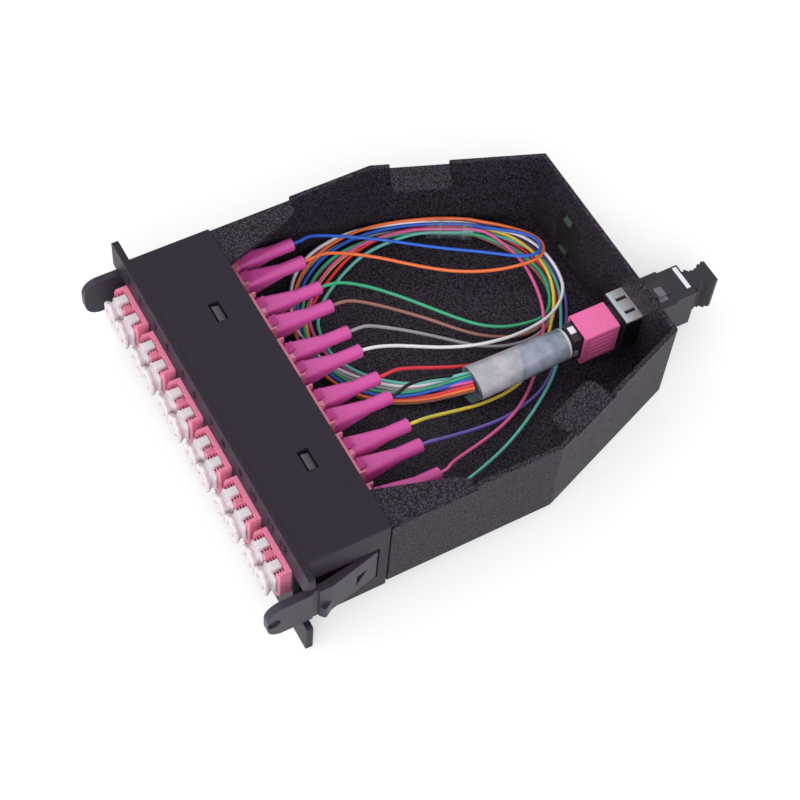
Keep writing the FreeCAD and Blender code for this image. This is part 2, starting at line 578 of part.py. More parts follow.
def mpo_plug():
    """The trunk connector's inner housing, from the fan-out to its ferrule."""
    rear = centred(MPO_X, MPO_Z, MPO_PLUG_W - 0.6, MPO_PLUG_H - 1.2, TUBE_TO, SLEEVE_FROM + 2)
    front = centred(MPO_X, MPO_Z, MPO_PLUG_W, MPO_PLUG_H, SLEEVE_FROM + 2, TRAY_END_Y + MPO_PLUG_REACH)
    front = front.makeChamfer(0.5, along(front, "y"))
    mate = TRAY_END_Y + MPO_PLUG_REACH
    ferrule = centred(MPO_X, MPO_Z, MPO_FERRULE_W, MPO_FERRULE_H, mate - 1, mate + MPO_FERRULE_L)
    return joined([rear, front, ferrule])


def mpo_sleeve():
    """The sliding outer sleeve that is pulled back to release the connector."""
    sleeve = centred(MPO_X, MPO_Z, SLEEVE_W, SLEEVE_H, SLEEVE_FROM, SLEEVE_TO)
    sleeve = sleeve.makeFillet(0.5, along(sleeve, "y"))
    sleeve = sleeve.cut(centred(MPO_X, MPO_Z, MPO_PLUG_W + 2 * FIT, MPO_PLUG_H + 2 * FIT,
                                SLEEVE_FROM - 1, SLEEVE_TO + 1))
    for side in (-1, 1):
        face = MPO_X + side * SLEEVE_W / 2
        for i in range(RIBS):
            z = MPO_Z + RIB_PITCH * (i - (RIBS - 1) / 2)
            sleeve = sleeve.cut(block(face - RIB_DEEP, face + RIB_DEEP, SLEEVE_FROM + RIB_INSET,
                                      SLEEVE_TO - RIB_INSET, z - RIB_W / 2, z + RIB_W / 2))
    return sleeve


def mpo_dust_cap():
    """A plug in the outer port with a flared, waisted grip."""
    w, h = MPO_BORE_W - 2 * CAP_FIT, MPO_BORE_H - 2 * CAP_FIT
    tip = MPO_END - MPO_CAP_PLUG_L
    plug = centred(MPO_X, MPO_Z, w, h, tip, MPO_END + 0.1)
    plug = plug.cut(centred(MPO_X, MPO_Z, w - 2, h - 2, tip - 1, MPO_END - 1))
    y0, y1 = MPO_END, MPO_END + MPO_CAP_GRIP_L
    waist, flare = MPO_CAP_WAIST / 2, MPO_CAP_FLARE / 2
    length = y1 - y0
    half = [(flare - 0.4, y0), (flare - 0.6, y0 + 0.7)]
    # Ridges step down one side of the grip's hollow and up the other.
    for i in range(MPO_CAP_RIBS):
        share = (i + 0.5) / MPO_CAP_RIBS
        depth = waist + (flare - waist) * (2 * share - 1) ** 2
        y = y0 + 0.9 + share * (length - 2.2)
        half += [(depth, y - 0.5), (depth + 0.45, y - 0.1), (depth, y + 0.3)]
    half += [(flare, y1 - 0.9), (flare - 0.3, y1)]
    outline = [(MPO_X + x, y) for x, y in half] + [(MPO_X - x, y) for x, y in reversed(half)]
    grip = upright(outline, MPO_Z - MPO_BORE_H / 2 - 0.3, MPO_Z + MPO_BORE_H / 2 + 0.3)
    return joined([plug, grip])


def blank_plug():
    """A snap-in blank that closes the unused rear position."""
    head = centred(BLANK_X, MPO_Z, MPO_COLLAR_W, MPO_COLLAR_H, TRAY_END_Y, TRAY_END_Y + BLANK_HEAD_L)
    rim = [e for e in head.Edges if any(v.Point.y > TRAY_END_Y + BLANK_HEAD_L - 0.01 for v in e.Vertexes)]
    head = head.makeFillet(BLANK_CORNER, rim)
    neck = centred(BLANK_X, MPO_Z, MPO_HOLE_W, MPO_HOLE_H, TRAY_END_Y - SHEET, TRAY_END_Y + 1)
    snaps = []
    x, y0 = BLANK_X - SNAP_W / 2, TRAY_END_Y - SHEET
    for side in (-1, 1):
        z = MPO_Z + side * MPO_HOLE_H / 2
        inner, tip = z - side * (SNAP_T + 0.4), z - side * 0.4
        snaps.append(prism([(x, y0 + 0.5, z), (x, y0 + 0.5, inner), (x, y0 - SNAP_L, inner),
                            (x, y0 - SNAP_L, tip), (x, y0 - 0.3, z + side * 0.8), (x, y0 - 0.3, z)],
                           (SNAP_W, 0, 0)))
    return joined([head, neck] + snaps)


def fan_out_tube():
    """The clear wrapped fan-out between the trunk connector and the bundle of fibres."""
    front = rounded_wire(TUBE_X, TUBE_FROM, TUBE_Z, TUBE_W, TUBE_H, TUBE_CORNER)
    back = rounded_wire(MPO_X, TUBE_TO, MPO_Z, TUBE_BACK_W, TUBE_BACK_H, TUBE_CORNER)
    return Part.makeLoft([front, back], True, True)


# ---- cords -------------------------------------------------------------------------------
# The bundle: out of the fan-out, forward under the boots and round the left side of the tray.
BUNDLE_ROUTE = [(TUBE_X, TUBE_FROM, TUBE_Z), (11.6, 57.0, 7.4), (7.8, 50.4, 5.8), (2.6, 44.2, 5.0),
                (-5.0, 39.8, 4.8), (-14.0, 37.6, 4.8), (-23.0, 37.2, 4.8), (-31.5, 39.6, 4.8),
                (-38.0, 46.6, 4.8), (-41.6, 57.0, 4.8), (-40.6, 67.0, 4.8), (-37.4, 77.4, 5.2),
                (-33.6, 85.4, 5.4), (-29.6, 91.2, 5.4)]

# The twelve fibres by the colour of port 1 to port 12.
FIBRES = ("blue", "orange", "green", "brown", "slate", "white", "red", "black",
          "yellow", "violet", "rose", "aqua")

# Which fibre has which place in the bundle's end: rows from the top down, outer lane to inner.
BUNDLE_END = [("brown", "green", "orange", "blue"), ("slate", "black", "red", "white"),
              ("violet", "yellow", "aqua", "rose")]

# Each fibre between its short straight ends: round the back of the tray, then forward to its boot.
# Blue and orange turn first and lie on top, the next four cross the middle, and the rest pass low
# under the fan-out.
FIBRE_ROUTES = {
    "blue": [
        (-24.2, 96.8, 8.0), (-21.2, 100.6, 9.0), (-17.4, 102.4, 9.5), (-14.0, 100.2, 9.5),
        (-13.9, 95.8, 9.5), (-16.6, 91.2, 9.5), (-20.9, 85.6, 9.4), (-27.0, 77.8, 9.4),
        (-33.4, 68.8, 9.6), (-39.0, 60.6, 10.4), (-41.8, 53.0, 12.6)],
    "orange": [
        (-25.0, 97.8, 7.2), (-20.6, 103.0, 8.0), (-14.4, 104.4, 8.5), (-10.8, 98.8, 8.5),
        (-12.0, 91.0, 8.5), (-15.8, 83.0, 8.5), (-22.6, 73.4, 8.7), (-30.2, 63.0, 9.4),
        (-35.0, 53.4, 12.2)],
    "green": [
        (-25.6, 98.8, 6.3), (-18.8, 102.4, 6.5), (-10.8, 103.2, 6.7), (-2.4, 100.4, 6.9),
        (3.2, 93.6, 7.1), (2.8, 84.6, 7.2), (-1.2, 75.2, 7.4), (-9.0, 66.4, 7.8), (-18.0, 58.8, 9.4),
        (-24.0, 52.6, 12.4)],
    "brown": [
        (-26.0, 100.5, 6.1), (-18.8, 103.8, 6.0), (-10.2, 104.6, 6.0), (-1.0, 102.2, 6.1),
        (5.6, 95.4, 6.4), (6.6, 86.2, 6.8), (3.2, 76.2, 7.0), (-4.4, 67.0, 7.6), (-12.4, 59.6, 9.0),
        (-18.2, 52.6, 12.2)],
    "slate": [
        (-26.2, 100.6, 5.2), (-18.4, 105.2, 5.0), (-9.2, 106.0, 5.0), (0.6, 103.4, 5.2), (6.8, 96.0, 5.6),
        (8.2, 86.8, 6.0), (6.2, 77.0, 6.9), (0.6, 67.8, 7.6), (-5.2, 59.6, 9.2), (-9.6, 52.2, 12.2)],
    "white": [
        (-23.6, 97.8, 5.8), (-17.4, 100.6, 6.6), (-9.4, 101.6, 7.2), (-1.6, 99.6, 8.0), (4.2, 92.8, 8.2),
        (5.6, 84.0, 8.2), (4.4, 74.6, 8.2), (1.0, 65.4, 8.6), (-2.8, 57.0, 10.2), (-4.4, 51.4, 12.6)],
    "red": [
        (-24.2, 98.4, 5.0), (-17.2, 101.9, 4.7), (-8.2, 102.6, 4.5), (0.2, 99.6, 4.4), (6.4, 92.8, 4.4),
        (9.2, 84.0, 4.4), (10.2, 74.8, 4.5), (7.7, 65.8, 6.0), (4.6, 57.6, 9.6), (3.8, 51.2, 12.4)],
    "black": [
        (-25.0, 99.6, 4.9), (-17.4, 103.4, 4.4), (-8.4, 104.1, 4.2), (0.8, 101.0, 4.2), (7.6, 93.8, 4.3),
        (10.8, 85.0, 4.4), (12.2, 75.8, 4.4), (9.8, 66.6, 4.3), (7.9, 58.8, 7.2), (8.6, 52.0, 11.8)],
    "yellow": [
        (-24.2, 99.2, 3.5), (-17.6, 104.4, 3.2), (-8.6, 105.4, 3.2), (0.6, 102.4, 3.3), (8.6, 95.0, 4.2),
        (12.8, 86.4, 4.3), (17.6, 77.6, 4.4), (18.9, 68.4, 4.9), (18.9, 59.8, 7.8), (19.3, 52.4, 12.0)],
    "violet": [
        (-25.4, 99.6, 3.6), (-18.0, 105.6, 3.2), (-8.4, 106.6, 3.2), (1.4, 103.8, 3.3), (9.8, 96.6, 4.2),
        (15.4, 88.0, 4.3), (20.8, 79.4, 4.6), (23.8, 69.8, 6.6), (25.0, 60.6, 8.6), (25.5, 53.0, 12.2)],
    "rose": [
        (-23.0, 97.0, 3.6), (-15.4, 98.9, 3.2), (-6.2, 97.2, 3.2), (3.0, 93.0, 3.2), (12.0, 86.0, 3.2),
        (19.9, 76.6, 3.4), (25.4, 68.2, 4.8), (29.6, 60.2, 7.8), (32.8, 53.0, 11.4)],
    "aqua": [
        (-23.4, 98.4, 3.6), (-15.6, 100.4, 3.2), (-5.8, 98.8, 3.2), (4.8, 94.6, 3.2), (14.6, 87.4, 3.2),
        (23.2, 77.8, 3.4), (29.6, 68.8, 4.8), (34.6, 60.6, 7.6), (38.6, 53.2, 11.2)],
}


def fillets(points):
    """For each inner point of a route: where its arc starts, its middle, its end and its radius."""
    bends = []
    for before, corner, after in zip(points, points[1:], points[2:]):
        back, on = V(*before) - V(*corner), V(*after) - V(*corner)
        reach = 0.45 * min(back.Length, on.Length)
        back.normalize()
        on.normalize()
        half_turn = (math.pi - back.getAngle(on)) / 2
        radius = reach / math.tan(half_turn)
        inward = back + on
        inward.normalize()
        middle = V(*corner) + inward * (radius / math.cos(half_turn) - radius)
        bends.append((V(*corner) + back * reach, middle, V(*corner) + on * reach, radius))
    return bends


def cord(points, radius):
    """A round cord along straight runs joined by tangent arcs."""
    bends = fillets(points)
    edges = []
    here = V(*points[0])
    for start, middle, end, _ in bends:
        edges.append(Part.LineSegment(here, start).toShape())
        edges.append(Part.Arc(start, middle, end).toShape())
        here = end
    edges.append(Part.LineSegment(here, V(*points[-1])).toShape())
    path = Part.Wire(edges)
    section = Part.Wire([Part.makeCircle(radius, V(*points[0]), V(*points[1]) - V(*points[0]))])
    solid = path.makePipeShell([section], True, False)
    filled = solid.Volume / (math.pi * radius ** 2 * path.Length)
    print("   length %.1f, tightest bend %.1f, volume / (section x length) %.4f"
          % (path.Length, min(bend[3] for bend in bends), filled))
    return solid


def bundle_heading():
    """The level direction in which the bundle ends."""
    heading = V(*BUNDLE_ROUTE[-1]) - V(*BUNDLE_ROUTE[-2])
    heading.z = 0
    heading.normalize()
    return heading


def fibre(port, colour):
    """One fibre from the bundle's end to the mouth of its boot."""
    heading = bundle_heading()
    inner = V(heading.y, -heading.x, 0)
    row = [colour in lanes for lanes in BUNDLE_END].index(True)
    lane = BUNDLE_END[row].index(colour)
    start = V(*BUNDLE_ROUTE[-1]) + inner * (LANE * (lane - 1.5)) + V(0, 0, LANE * (1 - row))
    lead = start + heading * LEAD
    ends = [(port, BOOT_END + BOOT_LEAD, PORT_Z), (port, BOOT_END, PORT_Z)]
    return cord([tuple(start), tuple(lead)] + FIBRE_ROUTES[colour] + ends, FIBRE_R)


def bundle_tape():
    """Clear tape wound round the end of the bundle."""
    heading = bundle_heading()
    end = V(*BUNDLE_ROUTE[-1])
    reach = 3 * BUNDLE_R
    cutter = Part.makeBox(TAPE_L, reach, reach, V(-TAPE_L, -reach / 2, -reach / 2))
    cutter.rotate(V(0, 0, 0), V(0, 0, 1), math.degrees(math.atan2(heading.y, heading.x)))
    cutter.translate(end - heading * TAPE_SHORT)
    wrap = cord(BUNDLE_ROUTE, BUNDLE_R + TAPE_T).cut(cord(BUNDLE_ROUTE, BUNDLE_R))
    return wrap.common(cutter).Solids[0]


# ---- every sub-part ----------------------------------------------------------------------
os.makedirs("parts", exist_ok=True)
save("front_housing", front_housing())
save("adapter_retainer", adapter_retainer())
save("left_latch_arm", latch_arm(-1))
save("right_latch_arm", latch_arm(1))
save("tray", tray())
for i, x in enumerate(ROW):
    save("lc_adapter_%d" % (i + 1), lc_adapter(x))
for i, x in enumerate(PORTS):
    save("lc_dust_cap_%02d" % (i + 1), dust_cap(x))
    save("lc_connector_%02d" % (i + 1), lc_connector(x))
    save("fibre_%02d" % (i + 1), fibre(x, FIBRES[i]))
save("mpo_adapter", mpo_adapter())
save("mpo_adapter_clip", mpo_clip())
save("mpo_plug", mpo_plug())
save("mpo_sleeve", mpo_sleeve())
save("mpo_dust_cap", mpo_dust_cap())
save("blank_plug", blank_plug())
save("fan_out_tube", fan_out_tube())
save("fibre_bundle", cord(BUNDLE_ROUTE, BUNDLE_R))
save("bundle_tape", bundle_tape())
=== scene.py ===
import json
import math

import bpy
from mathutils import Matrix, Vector


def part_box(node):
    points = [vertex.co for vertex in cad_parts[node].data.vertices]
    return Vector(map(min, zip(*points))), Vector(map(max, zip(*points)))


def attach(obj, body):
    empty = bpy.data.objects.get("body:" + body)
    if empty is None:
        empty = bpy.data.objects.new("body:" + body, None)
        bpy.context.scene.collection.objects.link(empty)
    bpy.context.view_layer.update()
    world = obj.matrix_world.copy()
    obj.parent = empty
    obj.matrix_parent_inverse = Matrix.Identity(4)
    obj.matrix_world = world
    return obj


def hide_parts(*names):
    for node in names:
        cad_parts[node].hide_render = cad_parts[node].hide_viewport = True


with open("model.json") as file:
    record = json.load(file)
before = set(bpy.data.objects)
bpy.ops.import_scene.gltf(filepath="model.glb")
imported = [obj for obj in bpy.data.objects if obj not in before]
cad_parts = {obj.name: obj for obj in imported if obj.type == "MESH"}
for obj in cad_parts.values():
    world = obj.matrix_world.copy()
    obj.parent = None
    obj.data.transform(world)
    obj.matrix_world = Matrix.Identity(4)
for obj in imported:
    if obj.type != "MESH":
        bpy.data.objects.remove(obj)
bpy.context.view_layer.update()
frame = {"nodes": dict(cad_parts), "record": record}
nodes = frame["nodes"]
bpy.ops.object.select_all(action="DESELECT")
MM = 0.001

# ---- camera --------------------------------------------------------------------------------------
# A long lens from above the right front corner, so the open tray, the capped ports and the trunk
# connector all show.
camera = bpy.data.objects.new("camera", bpy.data.cameras.new("camera"))
camera.location = (0.22138, -0.09711, 0.39587)
camera.rotation_euler = (math.radians(33.293), math.radians(-3.375), math.radians(61.095))
camera.data.lens = 85.39
camera.data.sensor_width = 36.0
camera.data.clip_end = 20.0
bpy.context.scene.collection.objects.link(camera)
bpy.context.scene.camera = camera


# ---- fibres --------------------------------------------------------------------------------------
# Twelve 0.9 mm tight-buffered fibres. They leave the fan-out together, go once round the left of
# the tray as a loose bundle under a clear tape, turn at the back and run forward, each to its boot.
def rgb(code):
    """A hex colour as it is seen, turned to the linear values that shaders take."""
    parts = [int(code[i:i + 2], 16) / 255 for i in (1, 3, 5)]
    linear = [c / 12.92 if c <= 0.04045 else ((c + 0.055) / 1.055) ** 2.4 for c in parts]
    return (*linear, 1.0)


def add(tree, kind, inputs=None, **settings):
    """Adds one node, sets its properties, and fills its inputs with values or links."""
    made = tree.nodes.new(kind)
    for name, value in settings.items():
        setattr(made, name, value)
    for name, value in (inputs or {}).items():
        if isinstance(value, bpy.types.NodeSocket):
            tree.links.new(value, made.inputs[name])
        else:
            made.inputs[name].default_value = value
    return made


def finish_of(name, code, roughness, **values):
    """A new material with a plain surface: its tree and its shader, ready for grain and bump."""
    material = bpy.data.materials.new(name)
    material.use_nodes = True
    shader = material.node_tree.nodes["Principled BSDF"]
    shader.inputs["Base Color"].default_value = rgb(code)
    shader.inputs["Roughness"].default_value = roughness
    for socket, value in values.items():
        shader.inputs[socket.replace("_", " ")].default_value = value
    return material, material.node_tree, shader


def relief_on(tree, shader, height, strength, depth, edge=0.0):
    """Gives a finish its relief, over edges softened by a small radius, both in millimetres."""
    made = add(tree, "ShaderNodeBump", {"Height": height, "Strength": strength,
                                        "Distance": depth * MM})
    if edge:
        soft = add(tree, "ShaderNodeBevel", {"Radius": edge * MM}, samples=4)
        tree.links.new(soft.outputs["Normal"], made.inputs["Normal"])
    tree.links.new(made.outputs["Normal"], shader.inputs["Normal"])


def grain_of(tree, shader, size, strength, depth, edge=0.0, tones=None, detail=2.0):
    """An uneven surface, in millimetres: relief and, from two hex colours, the tones of its lows
    and highs. Gives the noise back for what else follows it."""
    where = add(tree, "ShaderNodeTexCoord").outputs["Object"]
    noise = add(tree, "ShaderNodeTexNoise", {"Vector": where, "Scale": 1 / (size * MM),
                                             "Detail": detail}).outputs["Fac"]
    relief_on(tree, shader, noise, strength, depth, edge)
    if tones:
        tint = add(tree, "ShaderNodeMix", {0: noise, 6: rgb(tones[0]), 7: rgb(tones[1])},
                   data_type="RGBA")
        tree.links.new(tint.outputs[2], shader.inputs["Base Color"])
    return noise


FIBRE_D = 0.9
LAYER = 0.95               # one layer of fibres over another
BOOT_END = 42.3            # where a boot lets its fibre out
BOOT_AHEAD, BOOT_INSIDE = 2.0, 1.5    # a fibre's last straight stretch, outside and inside it
PORT_Z = 14.4
PITCH = 15.2               # from adapter to adapter
PORT_PITCH = 6.25          # from port to port in one adapter
PORTS = [PITCH * (i - 2.5) + side * PORT_PITCH / 2 for i in range(6) for side in (-1, 1)]
# The flat loose bundle from the fan-out's mouth to the tape: its outer and its inner edge. It lies
# on the floor inside and leans up against the tray's wall outside.
BUNDLE_EDGES = [
    ((14.6, 64.4, 8.6), (10.2, 65.6, 8.9)), ((12.8, 60.3, 6.8), (8.6, 62.2, 7.0)),
    ((10.7, 55.5, 4.8), (6.2, 58.0, 5.0)), ((8.9, 50.8, 4.2), (4.6, 53.2, 4.4)),
    ((6.6, 46.2, 4.0), (1.8, 49.0, 4.0)), ((3.6, 41.8, 4.0), (-2.2, 44.6, 3.9)),
    ((0.0, 38.0, 4.2), (-6.6, 41.3, 3.8)), ((-4.3, 35.2, 4.5), (-10.6, 39.4, 3.8)),
    ((-10.3, 33.0, 5.0), (-14.3, 38.4, 3.8)), ((-16.8, 31.8, 5.4), (-18.3, 38.3, 3.8)),
    ((-23.2, 32.6, 5.8), (-23.0, 39.0, 3.8)), ((-29.6, 34.9, 6.2), (-27.8, 41.7, 3.8)),
    ((-34.9, 38.5, 6.5), (-31.4, 45.2, 3.8)), ((-38.9, 42.8, 6.7), (-34.2, 49.3, 4.0)),
    ((-41.8, 48.2, 6.8), (-36.4, 53.9, 4.4)), ((-43.3, 54.3, 6.8), (-37.9, 59.0, 4.8)),
    ((-43.6, 60.4, 6.8), (-38.2, 64.2, 5.2)), ((-42.8, 66.0, 6.8), (-37.7, 69.2, 5.6)),
    ((-41.4, 71.3, 6.8), (-36.9, 73.8, 5.8)), ((-39.7, 76.4, 6.8), (-35.6, 77.8, 6.0)),
    ((-36.9, 83.4, 6.8), (-33.0, 83.0, 6.0)), ((-33.3, 90.0, 6.8), (-30.2, 88.6, 6.0))]
# Where each fibre lies in the bundle at its mouth, at its front, at its left and at the tape: the
# lane from the outer edge, 0, to the inner, 5, and the layer under the top one.
LANES = {"blue": ((3, 0), (1, 0), (2, 0), (2, 0)), "orange": ((0, 0), (0, 0), (1, 0), (0, -0.3)),
         "green": ((4, 0), (2, 0), (3, 0), (5, 1)), "brown": ((0, 1), (0, 1), (3, 1), (4, 2)),
         "slate": ((4, 1), (3, 0), (1, 1), (3, 2)), "white": ((5, 1), (4, 0), (0, 0), (1, 0.3)),
         "red": ((1, 0), (1, 1), (5, 1), (2, 1)), "black": ((3, 1), (3, 1), (2, 1), (1, 1)),
         "yellow": ((1, 1), (2, 1), (4, 1), (3, 1)), "violet": ((2, 1), (4, 1), (0, 1), (0, 1)),
         "rose": ((2, 0), (5, 1), (4, 0), (4, 0)), "aqua": ((5, 0), (5, 0), (6.4, 0), (5.4, 0))}
INNER_LANE = 5
STATIONS = (0, 5, 13, 21)  # the edges at which those places hold
FIBRES = {"blue": "#2560cc", "orange": "#f27440", "green": "#3aa87c", "brown": "#996860",
          "slate": "#9a98a0", "white": "#e6e3ea", "red": "#e63a48", "black": "#17161a",
          "yellow": "#e4d052", "violet": "#7560b8", "rose": "#e2619f", "aqua": "#6cc2b8"}
# Each fibre from the tape to its boot. Blue and orange turn first and lie on top, white next, then
# yellow and rose, and the others lie low. The last six pass under the fan-out.
FIBRE_ROUTES = {
    "blue": [
        (-29.4, 91.8, 7.0), (-25.8, 95.8, 7.8), (-22.6, 99.0, 8.5), (-20.2, 101.0, 8.9),
        (-17.4, 102.2, 9.0), (-14.8, 101.3, 9.0), (-14.0, 98.6, 9.0), (-15.1, 95.4, 9.0),
        (-17.8, 91.4, 9.0), (-21.2, 86.6, 9.0), (-25.4, 80.0, 9.0), (-29.9, 73.5, 9.1),
        (-34.5, 67.2, 9.3), (-38.6, 60.6, 9.7), (-41.8, 53.5, 10.8), (-42.8, 48.0, 12.8)],
    "orange": [
        (-31.2, 92.6, 6.9), (-27.6, 96.6, 7.3), (-23.4, 100.4, 7.6), (-20.6, 102.4, 7.7),
        (-17.6, 103.4, 7.8), (-14.8, 102.4, 7.8), (-13.4, 99.8, 7.8), (-13.3, 96.6, 7.8),
        (-14.0, 91.6, 7.8), (-15.4, 86.4, 7.8), (-18.0, 80.4, 7.8), (-21.4, 74.8, 7.9),
        (-26.2, 68.6, 8.2), (-31.2, 62.4, 8.8), (-34.9, 55.5, 10.2), (-36.3, 48.6, 12.8)],
    "green": [
        (-28.2, 91.2, 5.2), (-24.2, 94.8, 4.5), (-20.9, 97.0, 4.1), (-17.6, 98.6, 3.8),
        (-14.0, 99.8, 3.8), (-10.4, 99.9, 3.8), (-6.6, 99.0, 3.8), (-2.8, 97.4, 3.8),
        (-0.2, 95.2, 3.9), (1.2, 92.4, 4.0), (1.0, 89.0, 4.0), (0.3, 85.0, 4.1),
        (-1.0, 81.0, 4.3), (-3.6, 76.6, 4.7), (-7.1, 72.8, 5.3), (-11.0, 69.1, 6.0),
        (-14.8, 65.3, 7.0), (-18.4, 61.4, 8.2), (-23.0, 55.0, 10.6), (-25.8, 48.6, 13.0)],
    "brown": [
        (-29.3, 91.0, 3.8), (-25.6, 94.2, 3.2), (-20.8, 97.4, 2.8), (-15.0, 99.3, 2.8),
        (-9.2, 99.6, 2.8), (-4.2, 98.6, 2.8), (0.0, 96.2, 2.8), (2.4, 92.4, 2.9),
        (3.4, 88.0, 3.1), (2.9, 83.6, 3.4), (1.4, 79.8, 3.7), (-1.0, 75.4, 4.2),
        (-4.3, 71.2, 5.0), (-9.6, 65.4, 6.6), (-14.3, 59.0, 8.6), (-18.0, 52.4, 11.2),
        (-19.6, 47.6, 13.4)],
    "slate": [
        (-29.9, 91.6, 3.9), (-26.2, 95.2, 3.2), (-21.2, 98.6, 2.8), (-15.2, 100.4, 2.8),
        (-9.2, 100.7, 2.8), (-3.6, 99.4, 2.8), (1.2, 96.0, 2.8), (4.3, 91.0, 2.8),
        (5.2, 85.2, 2.9), (4.0, 79.2, 3.2), (1.6, 73.8, 3.7), (-1.4, 69.4, 4.6),
        (-4.2, 65.0, 5.9), (-7.8, 58.2, 8.4), (-10.2, 52.0, 11.0), (-11.1, 47.4, 13.4)],
    "white": [
        (-29.9, 92.4, 6.0), (-26.9, 96.4, 6.0), (-24.1, 99.4, 6.1), (-20.6, 101.4, 6.3),
        (-17.0, 102.4, 6.6), (-12.6, 102.9, 6.8), (-7.6, 102.6, 6.8), (-3.0, 101.2, 6.9),
        (0.6, 98.0, 6.9), (3.2, 93.2, 6.9), (4.2, 88.4, 7.0), (4.7, 82.1, 7.3), (4.2, 76.3, 7.7),
        (3.2, 70.8, 8.1), (0.9, 63.6, 8.8), (-2.0, 56.5, 10.2), (-3.8, 50.8, 12.0)],
    "red": [
        (-30.6, 92.2, 4.5), (-26.8, 96.2, 3.6), (-21.8, 99.6, 3.0), (-15.6, 101.5, 2.8),
        (-9.4, 101.8, 2.8), (-3.6, 100.1, 2.8), (1.2, 96.4, 2.8), (4.7, 91.2, 2.8),
        (6.8, 83.0, 2.9), (7.3, 75.0, 3.4), (5.8, 67.0, 4.8), (4.4, 60.2, 6.8), (3.3, 53.6, 9.6),
        (3.1, 48.2, 12.4)],
    "black": [
        (-31.2, 92.9, 4.6), (-27.2, 97.0, 3.7), (-22.2, 100.6, 3.0), (-16.0, 102.6, 2.8),
        (-9.6, 103.0, 2.8), (-3.0, 101.6, 2.8), (2.8, 98.0, 2.8), (7.2, 92.8, 2.8),
        (9.8, 87.2, 2.8), (10.7, 81.0, 2.9), (10.2, 75.0, 3.2), (8.9, 68.0, 4.6),
        (7.9, 61.2, 7.2), (7.2, 54.4, 9.6), (8.2, 48.4, 12.2)],
    "yellow": [
        (-30.2, 92.4, 5.1), (-27.0, 96.4, 5.0), (-24.0, 98.6, 5.0), (-19.2, 100.6, 5.0),
        (-14.2, 101.4, 5.0), (-8.6, 100.8, 5.0), (-3.8, 98.9, 5.0), (0.8, 96.2, 5.0),
        (4.6, 93.0, 4.6), (9.0, 88.6, 3.8), (13.8, 81.8, 3.3), (16.8, 74.0, 3.6),
        (17.4, 64.8, 4.7), (17.4, 58.8, 6.4), (17.7, 52.6, 9.0), (18.6, 47.8, 12.0)],
    "violet": [
        (-31.9, 93.6, 4.8), (-27.8, 97.8, 3.8), (-22.8, 101.5, 3.1), (-16.6, 103.7, 2.8),
        (-9.8, 104.0, 2.8), (-3.2, 102.5, 2.8), (3.1, 99.0, 2.8), (9.2, 94.2, 2.8),
        (14.7, 88.4, 2.8), (19.4, 81.8, 2.8), (21.4, 75.6, 2.9), (23.2, 68.4, 4.0),
        (23.8, 60.8, 5.9), (24.4, 54.4, 8.4), (25.4, 48.2, 12.0)],
    "rose": [
        (-29.2, 91.6, 6.0), (-27.4, 93.2, 5.8), (-23.6, 94.9, 5.5), (-19.4, 96.2, 5.2),
        (-15.0, 96.7, 5.1), (-9.8, 96.2, 5.0), (-4.5, 95.1, 5.0), (0.4, 93.3, 5.0),
        (4.5, 90.8, 4.9), (9.6, 87.3, 4.7), (15.2, 82.0, 4.0), (19.0, 77.6, 3.8),
        (22.9, 72.0, 4.6), (25.9, 65.4, 5.6), (28.3, 58.2, 7.2), (30.8, 51.0, 10.0),
        (33.0, 46.6, 13.0)],
    "aqua": [
        (-30.4, 91.2, 5.0), (-27.4, 95.0, 4.2), (-23.8, 98.6, 3.9), (-18.6, 101.8, 3.8),
        (-12.4, 102.8, 3.8), (-6.2, 101.8, 3.8), (-1.6, 99.8, 3.8), (4.2, 96.4, 3.8),
        (9.6, 93.0, 3.8), (14.8, 89.0, 3.8), (18.8, 84.4, 3.3), (22.2, 79.4, 3.2),
        (25.9, 73.6, 3.8), (29.9, 66.4, 5.0), (32.9, 60.2, 6.8), (36.0, 53.4, 9.6),
        (38.6, 47.8, 12.8)],
}


def in_bundle(colour):
    """One fibre's points along the bundle, as it changes its lane and layer between stations."""
    points = []
    for i, (outer, inner) in enumerate(BUNDLE_EDGES):
        part = max(k for k in range(3) if STATIONS[k] <= i)
        share = (i - STATIONS[part]) / (STATIONS[part + 1] - STATIONS[part])
        share = share * share * (3 - 2 * share)
        here, there = LANES[colour][part:part + 2]
        lane, layer = (a + (b - a) * share for a, b in zip(here, there))
        spot = Vector(outer).lerp(Vector(inner), lane / INNER_LANE)
        points.append(spot - Vector((0, 0, LAYER * layer)))
    return points


def jacket(colour, code):
    """Extruded soft PVC buffer tube: even colour, a silky shine and very slight waviness."""
    material, tree, shader = finish_of("fibre_" + colour + "_pvc", code, 0.36, IOR=1.5,
                                       Specular_IOR_Level=0.42)
    waves = grain_of(tree, shader, 2.38, 0.12, 0.05)
    tone = add(tree, "ShaderNodeMapRange", {"Value": waves, "To Min": 0.9, "To Max": 1.08})
    tint = add(tree, "ShaderNodeHueSaturation", {"Value": tone.outputs["Result"],
                                                 "Color": rgb(code)})
    tree.links.new(tint.outputs["Color"], shader.inputs["Base Color"])
    return material


